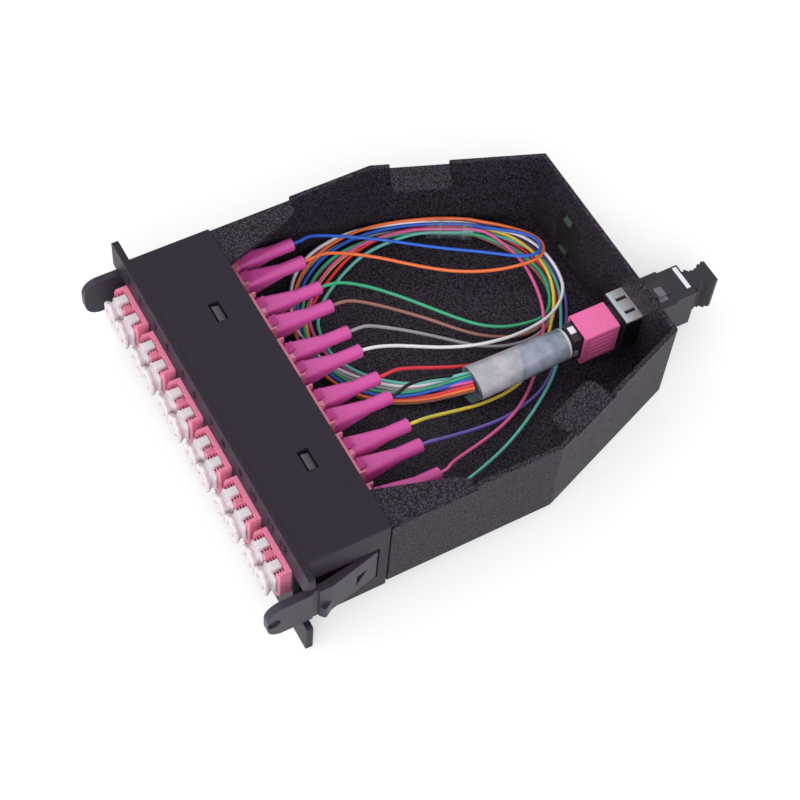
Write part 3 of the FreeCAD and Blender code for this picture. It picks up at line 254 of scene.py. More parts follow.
for port, (colour, code) in enumerate(FIBRES.items()):
    x = PORTS[port]
    points = in_bundle(colour) + [Vector(p) for p in FIBRE_ROUTES[colour]]
    points += [Vector((x, BOOT_END + BOOT_AHEAD, PORT_Z - 0.1)),
               Vector((x, BOOT_END - BOOT_INSIDE, PORT_Z))]
    curve = bpy.data.curves.new("fibre_" + colour, "CURVE")
    curve.dimensions = "3D"
    spline = curve.splines.new("NURBS")
    spline.points.add(len(points) - 1)
    for spot, point in zip(spline.points, points):
        spot.co = (*(point * MM), 1.0)
    spline.order_u = 3
    spline.use_endpoint_u = True
    spline.resolution_u = 6
    curve.bevel_depth = FIBRE_D / 2 * MM
    curve.bevel_resolution = 3
    curve.use_fill_caps = True
    fibre = bpy.data.objects.new("fibre_" + colour, curve)
    bpy.context.scene.collection.objects.link(fibre)
    curve.materials.append(jacket(colour, code))
    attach(fibre, "cassette")
    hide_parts("fibre_%02d" % (port + 1))
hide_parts("fibre_bundle")

# ---- fan-out wrap --------------------------------------------------------------------------------
# A 25 mm sleeve of milky polyester film, rolled round the fan-out behind the trunk connector and
# pressed flat at its open end. A second, clear film inside it sticks out under the fibres.
SMOOTH_UNDER = math.radians(40)
WRAP_FILM, FLAP_FILM = 0.16, 0.1      # thickness
FLAP_CUT_Y, FLAP_CUT_Z, FLAP_CUT_X = 63.0, 7.4, 13.6


def tube_of(stations, turns=48):
    """An open tube through oval sections: the centre, width and height of each in millimetres."""
    x, y, z, width, height = stations[0]
    bpy.ops.object.select_all(action="DESELECT")
    bpy.ops.mesh.primitive_circle_add(vertices=turns, radius=0.5 * MM,
                                      rotation=(math.radians(90), 0, 0),
                                      location=(x * MM, y * MM, z * MM))
    bpy.ops.object.mode_set(mode="EDIT")
    bpy.ops.mesh.select_all(action="SELECT")
    bpy.ops.transform.resize(value=(width, 1, height), center_override=(x * MM, y * MM, z * MM))
    for before, after in zip(stations, stations[1:]):
        step = [(b - a) * MM for a, b in zip(before[:3], after[:3])]
        bpy.ops.mesh.extrude_region_move(TRANSFORM_OT_translate={"value": step})
        bpy.ops.transform.resize(value=(after[3] / before[3], 1, after[4] / before[4]),
                                 center_override=[v * MM for v in after[:3]])
    bpy.ops.mesh.select_all(action="SELECT")
    bpy.ops.mesh.normals_make_consistent(inside=False)
    bpy.ops.object.mode_set(mode="OBJECT")
    bpy.ops.object.transform_apply(location=True, rotation=True, scale=True)
    return bpy.context.object


def walled(piece, thickness):
    """Gives a sheet its thickness, inwards."""
    wall = piece.modifiers.new("wall", "SOLIDIFY")
    wall.thickness = thickness * MM
    wall.offset = -1
    bpy.ops.object.modifier_apply(modifier="wall")
    bpy.ops.object.shade_smooth_by_angle(angle=SMOOTH_UNDER)


def placed(piece, name, material, body="cassette"):
    """Names a finished piece, gives it its material and slot, and lets it ride on a body."""
    piece.name = name
    piece.data.materials.clear()
    piece.data.materials.append(material)
    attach(piece, body)
    bpy.ops.object.select_all(action="DESELECT")


# Oval sections from the open end to the plug: the centre, width and height of each.
WRAP_SECTIONS = [(13.3, 64.4, 8.9, 10.2, 6.2), (13.5, 67.0, 9.1, 10.0, 6.6),
                 (13.9, 72.0, 9.8, 9.6, 7.2), (14.4, 78.0, 10.9, 9.0, 7.9),
                 (14.9, 84.0, 12.0, 8.5, 8.4), (15.3, 88.6, 12.7, 8.2, 8.6),
                 (15.4, 89.0, 12.8, 7.9, 8.3)]
FLAP_SECTIONS = [(13.4, 62.0, 8.4, 9.4, 5.6), (13.4, 64.0, 8.7, 9.4, 5.6),
                 (13.7, 69.0, 9.3, 9.0, 6.0)]
CORE_SECTIONS = [(13.8, 70.5, 9.4, 0.6, 0.4), (13.8, 70.6, 9.4, 7.4, 4.4),
                 (14.6, 80.0, 11.2, 7.0, 6.2), (15.6, 89.6, 12.9, 6.4, 7.2),
                 (15.6, 89.7, 12.9, 0.6, 0.4)]
DOUBLE_FROM = 81.6, 82.2   # where the film gets its second turn, measured along its slant
SLANT = 0.35
RIM_FROM = 88.2, 88.5      # its cut edge at the plug
CLEAR_TO = -4.4, -2.2      # where its clear foot ends, above a line that climbs with the tube
CLIMB = 0.17
wrap_film, tree, shader = finish_of("milky_polyester_film", "#b7b2bd", 0.3, IOR=1.55)
grain_of(tree, shader, 4.76, 0.5, 0.4, detail=3.0)
where = add(tree, "ShaderNodeTexCoord").outputs["Object"]
spot = add(tree, "ShaderNodeSeparateXYZ", {"Vector": where})
# The film is single over the front half, where it reads white, and double over the rear half.
slant = add(tree, "ShaderNodeMath", {0: spot.outputs["X"], 1: SLANT}, operation="MULTIPLY")
along = add(tree, "ShaderNodeMath", {0: spot.outputs["Y"], 1: slant.outputs[0]}, operation="ADD")
double = add(tree, "ShaderNodeMapRange", {"Value": along.outputs[0],
                                          "From Min": DOUBLE_FROM[0] * MM,
                                          "From Max": DOUBLE_FROM[1] * MM})
# Glue stains, up to 7 mm across, dull both halves.
stain = add(tree, "ShaderNodeTexNoise", {"Vector": where, "Scale": 1 / (6.67 * MM), "Detail": 4.0,
                                         "Roughness": 0.6})
blotch = add(tree, "ShaderNodeMapRange", {"Value": stain.outputs["Fac"], "From Min": 0.36,
                                          "From Max": 0.6}).outputs["Result"]
white_side = add(tree, "ShaderNodeMix", {0: blotch, 6: rgb("#949ba2"), 7: rgb("#bfb5c2")},
                 data_type="RGBA")
blue_side = add(tree, "ShaderNodeMix", {0: blotch, 6: rgb("#647680"), 7: rgb("#999cae")},
                data_type="RGBA")
film = add(tree, "ShaderNodeMix", {0: double.outputs["Result"], 6: white_side.outputs[2],
                                   7: blue_side.outputs[2]}, data_type="RGBA")
# Its cut edge at the plug catches the light, and is painted paler there as a painted highlight.
edge = add(tree, "ShaderNodeMapRange", {"Value": spot.outputs["Y"], "From Min": RIM_FROM[0] * MM,
                                        "From Max": RIM_FROM[1] * MM})
rim_highlight = add(tree, "ShaderNodeMix", {0: edge.outputs["Result"], 6: film.outputs[2], 7: rgb("#c3c9cd")},
          data_type="RGBA")
tree.links.new(rim_highlight.outputs[2], shader.inputs["Base Color"])
# Low on its sides there is no print film, and the dark inside shows through.
low = add(tree, "ShaderNodeMath", {0: spot.outputs["Y"], 1: CLIMB}, operation="MULTIPLY")
height = add(tree, "ShaderNodeMath", {0: spot.outputs["Z"], 1: low.outputs[0]},
             operation="SUBTRACT")
clear = add(tree, "ShaderNodeMapRange", {"Value": height.outputs[0],
                                         "From Min": CLEAR_TO[0] * MM,
                                         "From Max": CLEAR_TO[1] * MM,
                                         "To Min": 0.4, "To Max": 0.94})
tree.links.new(clear.outputs["Result"], shader.inputs["Alpha"])
wrap = tube_of(WRAP_SECTIONS)
walled(wrap, WRAP_FILM)
placed(wrap, "fan_out_wrap", wrap_film)
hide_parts("fan_out_tube")

# The inner film is clear and glossy, and shows only by its grey sheen.
clear_film, tree, shader = finish_of("clear_polyester_film", "#6d7c82", 0.22, IOR=1.55, Alpha=0.34)
grain_of(tree, shader, 3.85, 0.5, 0.3, detail=3.0)
flap = tube_of(FLAP_SECTIONS)
bpy.ops.object.mode_set(mode="EDIT")
bpy.ops.mesh.select_all(action="DESELECT")
bpy.ops.object.mode_set(mode="OBJECT")
for v in flap.data.vertices:      # only the lower right of it is left in front of the outer film
    v.select = v.co.y < FLAP_CUT_Y * MM and (v.co.z > FLAP_CUT_Z * MM or
                                             v.co.x < FLAP_CUT_X * MM)
bpy.ops.object.mode_set(mode="EDIT")
bpy.ops.mesh.delete(type="VERT")
bpy.ops.object.mode_set(mode="OBJECT")
walled(flap, FLAP_FILM)
placed(flap, "fan_out_inner_film", clear_film)

# The fan-out itself, a moulded body that the fibres spread from, is a dark shape inside the film.
fan_out_black, tree, shader = finish_of("black_nylon", "#1a1b1e", 0.5, IOR=1.53)
grain_of(tree, shader, 0.77, 0.25, 0.05)
core = tube_of(CORE_SECTIONS, turns=24)
bpy.ops.object.shade_smooth_by_angle(angle=SMOOTH_UNDER)
placed(core, "fan_out_body", fan_out_black)

# ---- tape on the bundle --------------------------------------------------------------------------
# A turn of clear polypropylene tape that holds the bundle together at the back of the tray, with
# whiter creases across it.
def dress(names, material):
    """Gives CAD nodes their finish."""
    for name in names:
        nodes[name].data.materials.clear()
        nodes[name].data.materials.append(material)


CREASE_LEAN = 1.4
CREASE_HALF_PITCH = 5.4
CREASE_FROM = 4.4, 4.9     # from clear to whitened, within half a pitch
tape_film, tree, shader = finish_of("clear_polypropylene_tape", "#9aa2ac", 0.3, IOR=1.49)
grain_of(tree, shader, 3.85, 0.5, 0.3, detail=3.0)
where = add(tree, "ShaderNodeTexCoord").outputs["Object"]
spot = add(tree, "ShaderNodeSeparateXYZ", {"Vector": where})
streak = add(tree, "ShaderNodeMath", {0: spot.outputs["Y"], 1: CREASE_LEAN},
             operation="MULTIPLY")
across = add(tree, "ShaderNodeMath", {0: spot.outputs["X"], 1: streak.outputs[0]}, operation="ADD")
band = add(tree, "ShaderNodeMath", {0: across.outputs[0], 1: CREASE_HALF_PITCH * MM},
           operation="PINGPONG")
veil = add(tree, "ShaderNodeMapRange", {"Value": band.outputs[0],
                                        "From Min": CREASE_FROM[0] * MM,
                                        "From Max": CREASE_FROM[1] * MM,
                                        "To Min": 0.08, "To Max": 0.24})
tree.links.new(veil.outputs["Result"], shader.inputs["Alpha"])
dress(["bundle_tape"], tape_film)


# ---- front housing, latch arms and retainer ------------------------------------------------------
# Injection-moulded black ABS: the eared plate, the open-backed box behind it, the two side latches
# that spring from its walls, and the bar over the adapters. Spark-eroded tools leave a fine satin.
DUST_SIZE = 0.014, 0.026   # from a grain's middle to its rim, as a share of the space between them
DUST_SPACE = 9.0
black_abs, tree, shader = finish_of("satin_black_abs", "#272029", 0.46, IOR=1.53,
                                    Specular_IOR_Level=0.15)
fine = grain_of(tree, shader, 0.476, 0.4, 0.06, edge=0.25)
tone = add(tree, "ShaderNodeMix", {0: fine, 6: rgb("#1f1823"), 7: rgb("#2f2635")}, data_type="RGBA")
# A few grains of pale dust, about 0.3 mm across, lie on it.
where = add(tree, "ShaderNodeTexCoord").outputs["Object"]
dust = add(tree, "ShaderNodeTexVoronoi", {"Vector": where, "Scale": 1 / (DUST_SPACE * MM)})
speck = add(tree, "ShaderNodeMapRange", {"Value": dust.outputs["Distance"],
                                         "From Min": DUST_SIZE[0], "From Max": DUST_SIZE[1],
                                         "To Min": 0.45, "To Max": 0.0})
tint = add(tree, "ShaderNodeMix", {0: speck.outputs["Result"], 6: tone.outputs[2],
                                   7: rgb("#9a919c")}, data_type="RGBA")
tree.links.new(tint.outputs[2], shader.inputs["Base Color"])
dress(["front_housing"], black_abs)

# The bar's two hooks in the windows are smoother, and read as a lighter grey.
bar_abs, tree, shader = finish_of("smooth_black_abs", "#4a454d", 0.38, IOR=1.53,
                                  Specular_IOR_Level=0.3)
grain_of(tree, shader, 0.67, 0.25, 0.05, edge=0.25)
dress(["adapter_retainer"], bar_abs)

# The latch arms are a little smoother, and their faces, which face the key lamp, are painted a
# shade lighter as painted light.
lit_arm_abs, tree, shader = finish_of("black_abs_painted_lighter", "#332c37", 0.4, IOR=1.53,
                                  Specular_IOR_Level=0.2)
grain_of(tree, shader, 0.59, 0.3, 0.05, edge=0.3, tones=("#2b2430", "#3e3644"))
dress(["left_latch_arm", "right_latch_arm"], lit_arm_abs)

# ---- port numbers and plate edge -----------------------------------------------------------------
# Plain numbers from 1 to 12, hot-stamped in black foil on the strip above the ports, where they are
# flatter and darker than the plate. Over them the plate ends in a thin raised lip.
NUMBER_FACE = -1.72        # just in front of the plate
NUMBER_FOOT = 22.0
NUMBER_ASIDE = 1.1         # each stands a little left of its port
NUMBER_SIZE = 3.9
stamp_ink, tree, shader = finish_of("black_stamping_foil", "#050406", 0.55, IOR=1.5,
                                    Specular_IOR_Level=0.1)
grain_of(tree, shader, 0.56, 0.3, 0.03)
for port, x in enumerate(PORTS):
    spot = Vector((x - NUMBER_ASIDE, NUMBER_FACE, NUMBER_FOOT)) * MM
    bpy.ops.object.text_add(location=spot, rotation=(math.radians(90), 0, 0))
    number = bpy.context.object
    number.data.body = str(port + 1)
    number.data.align_x = "CENTER"
    number.data.size = NUMBER_SIZE * MM
    number.data.offset = 0.05 * MM
    number.data.extrude = 0.03 * MM
    bpy.ops.object.convert(target="MESH")
    bpy.ops.object.transform_apply(location=True, rotation=True, scale=True)
    placed(bpy.context.object, "port_number_%02d" % (port + 1), stamp_ink)


def block(low, high, softened=0.0):
    """A block between two corners in millimetres, its edges softened by a small bevel."""
    low, high = Vector(low) * MM, Vector(high) * MM
    bpy.ops.object.select_all(action="DESELECT")
    bpy.ops.mesh.primitive_cube_add(size=1, location=(low + high) / 2, scale=high - low)
    bpy.ops.object.transform_apply(location=True, rotation=True, scale=True)
    if softened:
        bpy.ops.object.mode_set(mode="EDIT")
        bpy.ops.mesh.select_all(action="SELECT")
        bpy.ops.mesh.bevel(offset=softened * MM, segments=2)
        bpy.ops.object.mode_set(mode="OBJECT")
    return bpy.context.object


# The lip stands a little proud of the box behind it and catches the light.
LIP_LOW, LIP_HIGH = (-47.0, -1.66, 27.3), (47.0, -0.3, 27.55)
placed(block(LIP_LOW, LIP_HIGH, 0.1), "plate_lip", black_abs)

# ---- adapters ------------------------------------------------------------------------------------
# Six duplex adapters moulded in salmon-pink PBT, pushed through the plate. The resin has a soft
# sheen and takes in a little light. On both sides of a cap's key the latch slot shows its ribbed
# floor.
def joined(parts):
    """Several meshes as one."""
    bpy.ops.object.select_all(action="DESELECT")
    for part in parts:
        part.select_set(True)
    bpy.context.view_layer.objects.active = parts[0]
    bpy.ops.object.join()
    return parts[0]


pink_pbt, tree, shader = finish_of("salmon_pink_pbt", "#e5809f", 0.36, IOR=1.55,
                                   Subsurface_Weight=0.12, Subsurface_Scale=0.6 * MM)
shader.inputs["Subsurface Radius"].default_value = (1.0, 0.4, 0.45)
grain_of(tree, shader, 0.56, 0.3, 0.05, edge=0.15, tones=("#d96f90", "#ee90ad"))
dress(["lc_adapter_%d" % (i + 1) for i in range(6)], pink_pbt)

SLOT_FLOOR = 17.5
SLOT_FRONT, SLOT_BACK = -5.2, -2.95
SLOT_HALF = 2.38           # half the latch slot
KEY_HALF = 1.15            # half a cap's key
RIB, RIB_PITCH, RIB_TOP = 0.3, 0.7, 0.75
# Between the ribs the slot's floor is painted dark as painted shade, and their crests are as light
# as the adapter.
shaded_pbt, tree, shader = finish_of("ribbed_salmon_pink_pbt_painted_shade", "#a8475f", 0.5, IOR=1.55)
grain_of(tree, shader, 0.56, 0.3, 0.05)
where = add(tree, "ShaderNodeTexCoord").outputs["Object"]
spot = add(tree, "ShaderNodeSeparateXYZ", {"Vector": where})
crest = add(tree, "ShaderNodeMapRange", {"Value": spot.outputs["Z"],
                                         "From Min": (SLOT_FLOOR + 0.25) * MM,
                                         "From Max": (SLOT_FLOOR + 0.7) * MM})
tint = add(tree, "ShaderNodeMix", {0: crest.outputs["Result"], 6: rgb("#7c3045"),
                                   7: rgb("#e58aa6")}, data_type="RGBA")
tree.links.new(tint.outputs[2], shader.inputs["Base Color"])
for port, x in enumerate(PORTS):
    parts = []
    for side in (-1, 1):
        near, far = sorted((x + side * KEY_HALF, x + side * SLOT_HALF))
        parts.append(block((near, SLOT_FRONT, SLOT_FLOOR),
                           (far, SLOT_BACK, SLOT_FLOOR + 0.2), 0.04))
        for rib in range(3):
            y = SLOT_FRONT + 0.35 + RIB_PITCH * rib
            parts.append(block((near, y, SLOT_FLOOR + 0.1),
                               (far, y + RIB, SLOT_FLOOR + RIB_TOP), 0.06))
    placed(joined(parts), "latch_slot_floor_%02d" % (port + 1), shaded_pbt)

# ---- port caps -----------------------------------------------------------------------------------
# Twelve push-in caps of natural low-density polyethylene: milky, waxy and a little see-through. A
# narrow key on each stands in the port's latch slot.
CAP_KEY_HALF = KEY_HALF * 0.92        # what is left of a cap's key
WASTE_TOP = 19.9           # above all of a cap
WASTE_BESIDE = 0.4         # past the slot's sides
HEAD_CUT = 1.4             # how far the cut goes on over a cap's head
cap_ldpe, tree, shader = finish_of("natural_ldpe", "#ece3e8", 0.4, IOR=1.51, Subsurface_Weight=0.6,
                                   Subsurface_Scale=1.2 * MM, Transmission_Weight=0.18)
shader.inputs["Subsurface Radius"].default_value = (1.0, 0.75, 0.8)
grain_of(tree, shader, 1.43, 0.3, 0.08, edge=0.2)
bodies = frame["record"]["behaviour"]["bodies"]
body_holding = {name: body for body, names in bodies.items() for name in names}
for port, x in enumerate(PORTS):
    name = "lc_dust_cap_%02d" % (port + 1)
    cap = bpy.data.objects.new("port_cap_%02d" % (port + 1), nodes[name].data.copy())
    bpy.context.scene.collection.objects.link(cap)
    # What stands over the slot on both sides of the key is cut away, down to the slot's ribs in the
    # adapter and down to the cap's head in front of it.
    waste = []
    for side in (-1, 1):
        near, far = sorted((x + side * CAP_KEY_HALF, x + side * (SLOT_HALF + WASTE_BESIDE)))
        waste.append(block((near, SLOT_FRONT - 0.06, SLOT_FLOOR - 0.08),
                           (far, SLOT_BACK + 0.3, WASTE_TOP)))
        waste.append(block((near, SLOT_FRONT - HEAD_CUT, SLOT_FLOOR + 0.28),
                           (far, SLOT_FRONT, WASTE_TOP)))
    bpy.ops.object.select_all(action="DESELECT")
    cap.select_set(True)
    bpy.context.view_layer.objects.active = cap
    bpy.ops.object.mode_set(mode="EDIT")
    bpy.ops.mesh.select_all(action="SELECT")
    bpy.ops.mesh.remove_doubles(threshold=0.001 * MM)
    bpy.ops.object.mode_set(mode="OBJECT")
    for cutter in waste:
        cut = cap.modifiers.new("cut", "BOOLEAN")
        cut.object = cutter
        cut.solver = "EXACT"
        bpy.ops.object.modifier_apply(modifier="cut")
        bpy.data.objects.remove(cutter)
    placed(cap, "port_cap_%02d" % (port + 1), cap_ldpe, body_holding[name])
    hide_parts(name)

# ---- connectors ----------------------------------------------------------------------------------
# Twelve simplex plugs, each held in its adapter's bore by a springy lever. Housing and boot are the
# same magenta, and the boot's thermoplastic rubber is silky and slightly soft-edged.
magenta_tpe, tree, shader = finish_of("magenta_tpe", "#cf4f9f", 0.3, IOR=1.5, Subsurface_Weight=0.1,
                                      Subsurface_Scale=0.6 * MM)
grain_of(tree, shader, 0.53, 0.2, 0.03, edge=0.2, tones=("#c44797", "#d757a8"))
dress(["lc_connector_%02d" % (i + 1) for i in range(12)], magenta_tpe)

# ---- tray ----------------------------------------------------------------------------------------
# Folded 1.2 mm steel with black wrinkle powder coat, baked into fine hard grains. Real grains are
# about 0.3 mm across; they are drawn at half a millimetre so that they show.
GRAIN, RIPPLE = 0.5, 0.7
wrinkle_coat, tree, shader = finish_of("black_wrinkle_powder_coat", "#221d24", 0.5, IOR=1.52,
                                       Specular_IOR_Level=0.14)
where = add(tree, "ShaderNodeTexCoord").outputs["Object"]
ripple = add(tree, "ShaderNodeTexNoise", {"Vector": where, "Scale": 1 / (RIPPLE * MM),
                                          "Detail": 5.0, "Roughness": 0.75})
grain = add(tree, "ShaderNodeTexVoronoi", {"Vector": where, "Scale": 1 / (GRAIN * MM)})
hill = add(tree, "ShaderNodeMath", {0: 1.0, 1: grain.outputs["Distance"]}, operation="SUBTRACT")
relief = add(tree, "ShaderNodeMath", {0: hill.outputs[0], 1: ripple.outputs["Fac"]},
             operation="ADD")
relief_on(tree, shader, relief.outputs[0], 0.8, 0.16, 0.3)
tops = add(tree, "ShaderNodeMapRange", {"Value": relief.outputs[0], "From Min": 0.85,
                                        "From Max": 1.4})
tint = add(tree, "ShaderNodeMix", {0: tops.outputs["Result"], 6: rgb("#17111a"), 7: rgb("#4d4452")},
           data_type="RGBA")
tree.links.new(tint.outputs[2], shader.inputs["Base Color"])
dress(["tray"], wrinkle_coat)
# A lanced ridge in the floor, in front of the spare rear opening.
RIDGE_LOW, RIDGE_HIGH = (-17.3, 104.2, 2.1), (-16.9, 108.4, 2.65)
placed(block(RIDGE_LOW, RIDGE_HIGH, 0.12), "lanced_ridge", wrinkle_coat)

# ---- trunk connector -----------------------------------------------------------------------------
# The multi-fibre plug: a black inner housing with a white paint mark and a small grey catch, and a
# ribbed pink sleeve that is pulled back to release it. The adapter has a white mark too. All are
# moulded in PBT with a low sheen.
RAMP_TOP = 19.25           # the top of the adapter's snap ramp lies above this
PAINTED_LIGHT_PATCH = (("X", 17.4, 2.0), ("Y", 115.1, 1.2))    # axis, middle and half of its patch of painted light
black_pbt, tree, shader = finish_of("black_pbt", "#2c2631", 0.4, IOR=1.55, Specular_IOR_Level=0.25)
grain_of(tree, shader, 0.67, 0.3, 0.05, edge=0.25)
# On one side the snap ramp on the adapter's top, which faces the light, is painted a paler grey as
# painted light.
where = add(tree, "ShaderNodeTexCoord").outputs["Object"]
spot = add(tree, "ShaderNodeSeparateXYZ", {"Vector": where})
painted_light_patch = add(tree, "ShaderNodeMath", {0: spot.outputs["Z"], 1: RAMP_TOP * MM},
             operation="GREATER_THAN")
for axis, middle, half in PAINTED_LIGHT_PATCH:
    near = add(tree, "ShaderNodeMath", {0: spot.outputs[axis], 1: middle * MM, 2: half * MM},
               operation="COMPARE")
    painted_light_patch = add(tree, "ShaderNodeMath", {0: painted_light_patch.outputs[0], 1: near.outputs[0]},
                 operation="MULTIPLY")
tint = add(tree, "ShaderNodeMix", {0: painted_light_patch.outputs[0], 6: rgb("#2c2631"), 7: rgb("#716b78")},
           data_type="RGBA")
tree.links.new(tint.outputs[2], shader.inputs["Base Color"])
dress(["mpo_plug", "mpo_adapter", "mpo_dust_cap"], black_pbt)

hot_pink, tree, shader = finish_of("hot_pink_pbt", "#e465a2", 0.36, IOR=1.55, Subsurface_Weight=0.1,
                                   Subsurface_Scale=0.6 * MM)
grain_of(tree, shader, 0.67, 0.25, 0.05, edge=0.2, tones=("#dc5c99", "#ee70ac"))
dress(["mpo_sleeve"], hot_pink)

white_paint, tree, shader = finish_of("white_marking_paint", "#e2e0ea", 0.45, IOR=1.5)
grain_of(tree, shader, 0.91, 0.3, 0.04, tones=("#d3d1de", "#efeef5"))
grey_pbt, tree, shader = finish_of("grey_pbt", "#75757f", 0.4, IOR=1.55)
grain_of(tree, shader, 0.67, 0.25, 0.05)
for name, low, high, softened, finish in (
        ("plug_mark", (14.1, 89.9, 17.15), (16.2, 91.6, 17.32), 0.05, white_paint),
        ("adapter_mark", (11.4, 122.5, 19.22), (18.4, 123.7, 19.4), 0.05, white_paint),
        ("plug_catch", (18.4, 89.9, 10.9), (18.95, 91.1, 12.9), 0.12, grey_pbt)):
    placed(block(low, high, softened), name, finish)

# ---- adapter clip --------------------------------------------------------------------------------
# Pressed and folded stainless spring strip, faintly brushed along its length. Its front lip is a
# pale bluish metal strip, a painted highlight.
BRUSH_WIDTH, BRUSH_LENGTH = 0.4, 8.33
LEG_SHADE_TO = 18.6, 19.0      # where the painted shade on the legs ends and the bright metal starts
spring_steel, tree, shader = finish_of("brushed_stainless_steel", "#dddadb", 0.48, Metallic=1.0)
where = add(tree, "ShaderNodeTexCoord").outputs["Object"]
brush = [1 / (size * MM) for size in (BRUSH_WIDTH, BRUSH_LENGTH, BRUSH_WIDTH)]
lengthwise = add(tree, "ShaderNodeMapping", {"Vector": where, "Scale": brush})
lines = add(tree, "ShaderNodeTexNoise", {"Vector": lengthwise.outputs["Vector"], "Scale": 1.0,
                                         "Detail": 2.0})
relief_on(tree, shader, lines.outputs["Fac"], 0.25, 0.04, 0.15)
tint = add(tree, "ShaderNodeMix", {0: lines.outputs["Fac"], 6: rgb("#cfcbcc"), 7: rgb("#f4f0f2")},
           data_type="RGBA")
# Its legs are painted dark grey below this height, as painted shade.
spot = add(tree, "ShaderNodeSeparateXYZ", {"Vector": where})
leg = add(tree, "ShaderNodeMapRange", {"Value": spot.outputs["Z"], "From Min": LEG_SHADE_TO[0] * MM,
                                       "From Max": LEG_SHADE_TO[1] * MM})
painted_leg_shade = add(tree, "ShaderNodeMix", {0: leg.outputs["Result"], 6: rgb("#45424a"),
                                     7: tint.outputs[2]}, data_type="RGBA")
tree.links.new(painted_leg_shade.outputs[2], shader.inputs["Base Color"])
dress(["mpo_adapter_clip"], spring_steel)

# A painted highlight: a pale bluish metal strip laid along the clip's front lip.
lip_highlight_metal, tree, shader = finish_of("painted_highlight_metal", "#c4d6de", 0.4, Metallic=0.6)
grain_of(tree, shader, 0.71, 0.25, 0.04)
clip_low, clip_high = (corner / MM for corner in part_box("mpo_adapter_clip"))
placed(block((clip_low.x + 0.2, clip_low.y, clip_high.z - 0.1),
             (clip_high.x - 0.2, clip_low.y + 1.1, clip_high.z + 0.2), 0.08),
       "clip_lip_highlight", lip_highlight_metal)

# ---- blank plug ----------------------------------------------------------------------------------
# A snap-in blank of black polypropylene in the unused rear position, soft and dull. Its snaps,
# inside the tray, are painted a lighter greenish grey as a painted highlight.
SNAP_HIGHLIGHT_TO = 107.2, 107.6     # the painted highlight ends just inside the tray's back wall
dark_pp, tree, shader = finish_of("black_polypropylene", "#222124", 0.45, IOR=1.49,
                                  Specular_IOR_Level=0.22)
grain_of(tree, shader, 0.83, 0.25, 0.06, edge=0.3)
where = add(tree, "ShaderNodeTexCoord").outputs["Object"]
spot = add(tree, "ShaderNodeSeparateXYZ", {"Vector": where})
outside = add(tree, "ShaderNodeMapRange", {"Value": spot.outputs["Y"],
                                           "From Min": SNAP_HIGHLIGHT_TO[0] * MM,
                                           "From Max": SNAP_HIGHLIGHT_TO[1] * MM})
tint = add(tree, "ShaderNodeMix", {0: outside.outputs["Result"], 6: rgb("#35443c"),
                                   7: rgb("#222124")}, data_type="RGBA")
tree.links.new(tint.outputs[2], shader.inputs["Base Color"])
dress(["blank_plug"], dark_pp)

# ---- floor ---------------------------------------------------------------------------------------
# A white paper sweep that the plate's lower edge and the back of the tray stand on. It takes the
# object's soft shadow, and is white wherever it is seen.
def seen_as_white(tree):
    """1 for rays of the camera, of reflections and through clear film, and 0 for those of light."""
    ray = add(tree, "ShaderNodeLightPath")
    seen = add(tree, "ShaderNodeMath", {0: ray.outputs["Is Camera Ray"],
                                        1: ray.outputs["Is Glossy Ray"]}, operation="MAXIMUM")
    return add(tree, "ShaderNodeMath", {0: seen.outputs[0], 1: ray.outputs["Is Transmission Ray"]},
               operation="MAXIMUM").outputs[0]


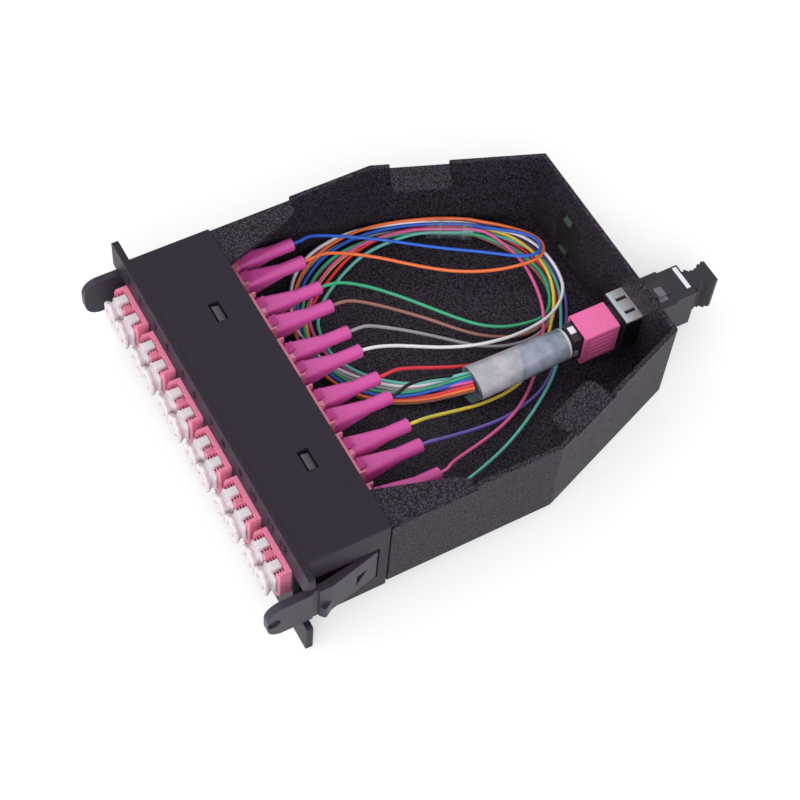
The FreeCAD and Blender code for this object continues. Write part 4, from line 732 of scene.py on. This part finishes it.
FLOOR = 3.0                # the paper's side, in metres
UNDER = 0.02               # the paper lies just under the plate's edge
PAPER_GLOW = 0.42          # brings the lit grey of the paper up to white
PLATE_FOOT = Vector((0, 0, -6.5)) * MM
TRAY_FOOT = Vector((0, 109.0, 1.1)) * MM
lean = math.atan2(TRAY_FOOT.z - PLATE_FOOT.z, TRAY_FOOT.y - PLATE_FOOT.y)
bpy.ops.mesh.primitive_plane_add(size=FLOOR, location=PLATE_FOOT - Vector((0, 0, UNDER * MM)),
                                 rotation=(lean, 0, 0))
floor = bpy.context.object
floor.name = "floor"
bpy.ops.object.transform_apply(location=True, rotation=True, scale=True)
paper = bpy.data.materials.new("white_paper")
paper.use_nodes = True
tree = paper.node_tree
tree.nodes.clear()
lit = add(tree, "ShaderNodeBsdfDiffuse", {"Color": rgb("#cecece")})
glow = add(tree, "ShaderNodeEmission", {"Color": rgb("#ffffff"), "Strength": PAPER_GLOW})
both = add(tree, "ShaderNodeAddShader", {0: lit.outputs[0], 1: glow.outputs[0]})
seen = add(tree, "ShaderNodeMixShader", {0: seen_as_white(tree), 1: lit.outputs[0],
                                         2: both.outputs[0]})
add(tree, "ShaderNodeOutputMaterial", {"Surface": seen.outputs[0]})
floor.data.materials.append(paper)

# ---- light ---------------------------------------------------------------------------------------
# An even white studio all round, with a large soft lamp at the front right and two weak ones, on
# the left and low in front. They leave only faint shadows.
AROUND = 0.75              # the studio's light on the object
LAMPS = (("key", (0.55, -0.25, 0.45), 0.5, 3.2), ("fill", (-0.4, -0.4, 0.7), 0.6, 1.5),
         ("front", (0.0, -0.6, 0.12), 0.4, 1.1))    # name, place, size and power
AIM = Vector((0.0, 0.05, 0.01))
world = bpy.data.worlds.new("studio")
bpy.context.scene.world = world
world.use_nodes = True
tree = world.node_tree
tree.nodes.clear()
plain = add(tree, "ShaderNodeBackground", {"Color": rgb("#ffffff"), "Strength": AROUND})
white = add(tree, "ShaderNodeBackground", {"Color": rgb("#ffffff"), "Strength": 1.0})
seen = add(tree, "ShaderNodeMixShader", {0: seen_as_white(tree), 1: plain.outputs[0],
                                         2: white.outputs[0]})
add(tree, "ShaderNodeOutputWorld", {"Surface": seen.outputs[0]})
for name, place, size, power in LAMPS:
    lamp = bpy.data.objects.new(name, bpy.data.lights.new(name, "AREA"))
    lamp.data.size = size
    lamp.data.energy = power
    lamp.location = place
    lamp.rotation_euler = (AIM - lamp.location).to_track_quat("-Z", "Y").to_euler()
    bpy.context.scene.collection.objects.link(lamp)
bpy.context.scene.view_settings.view_transform = "Standard"
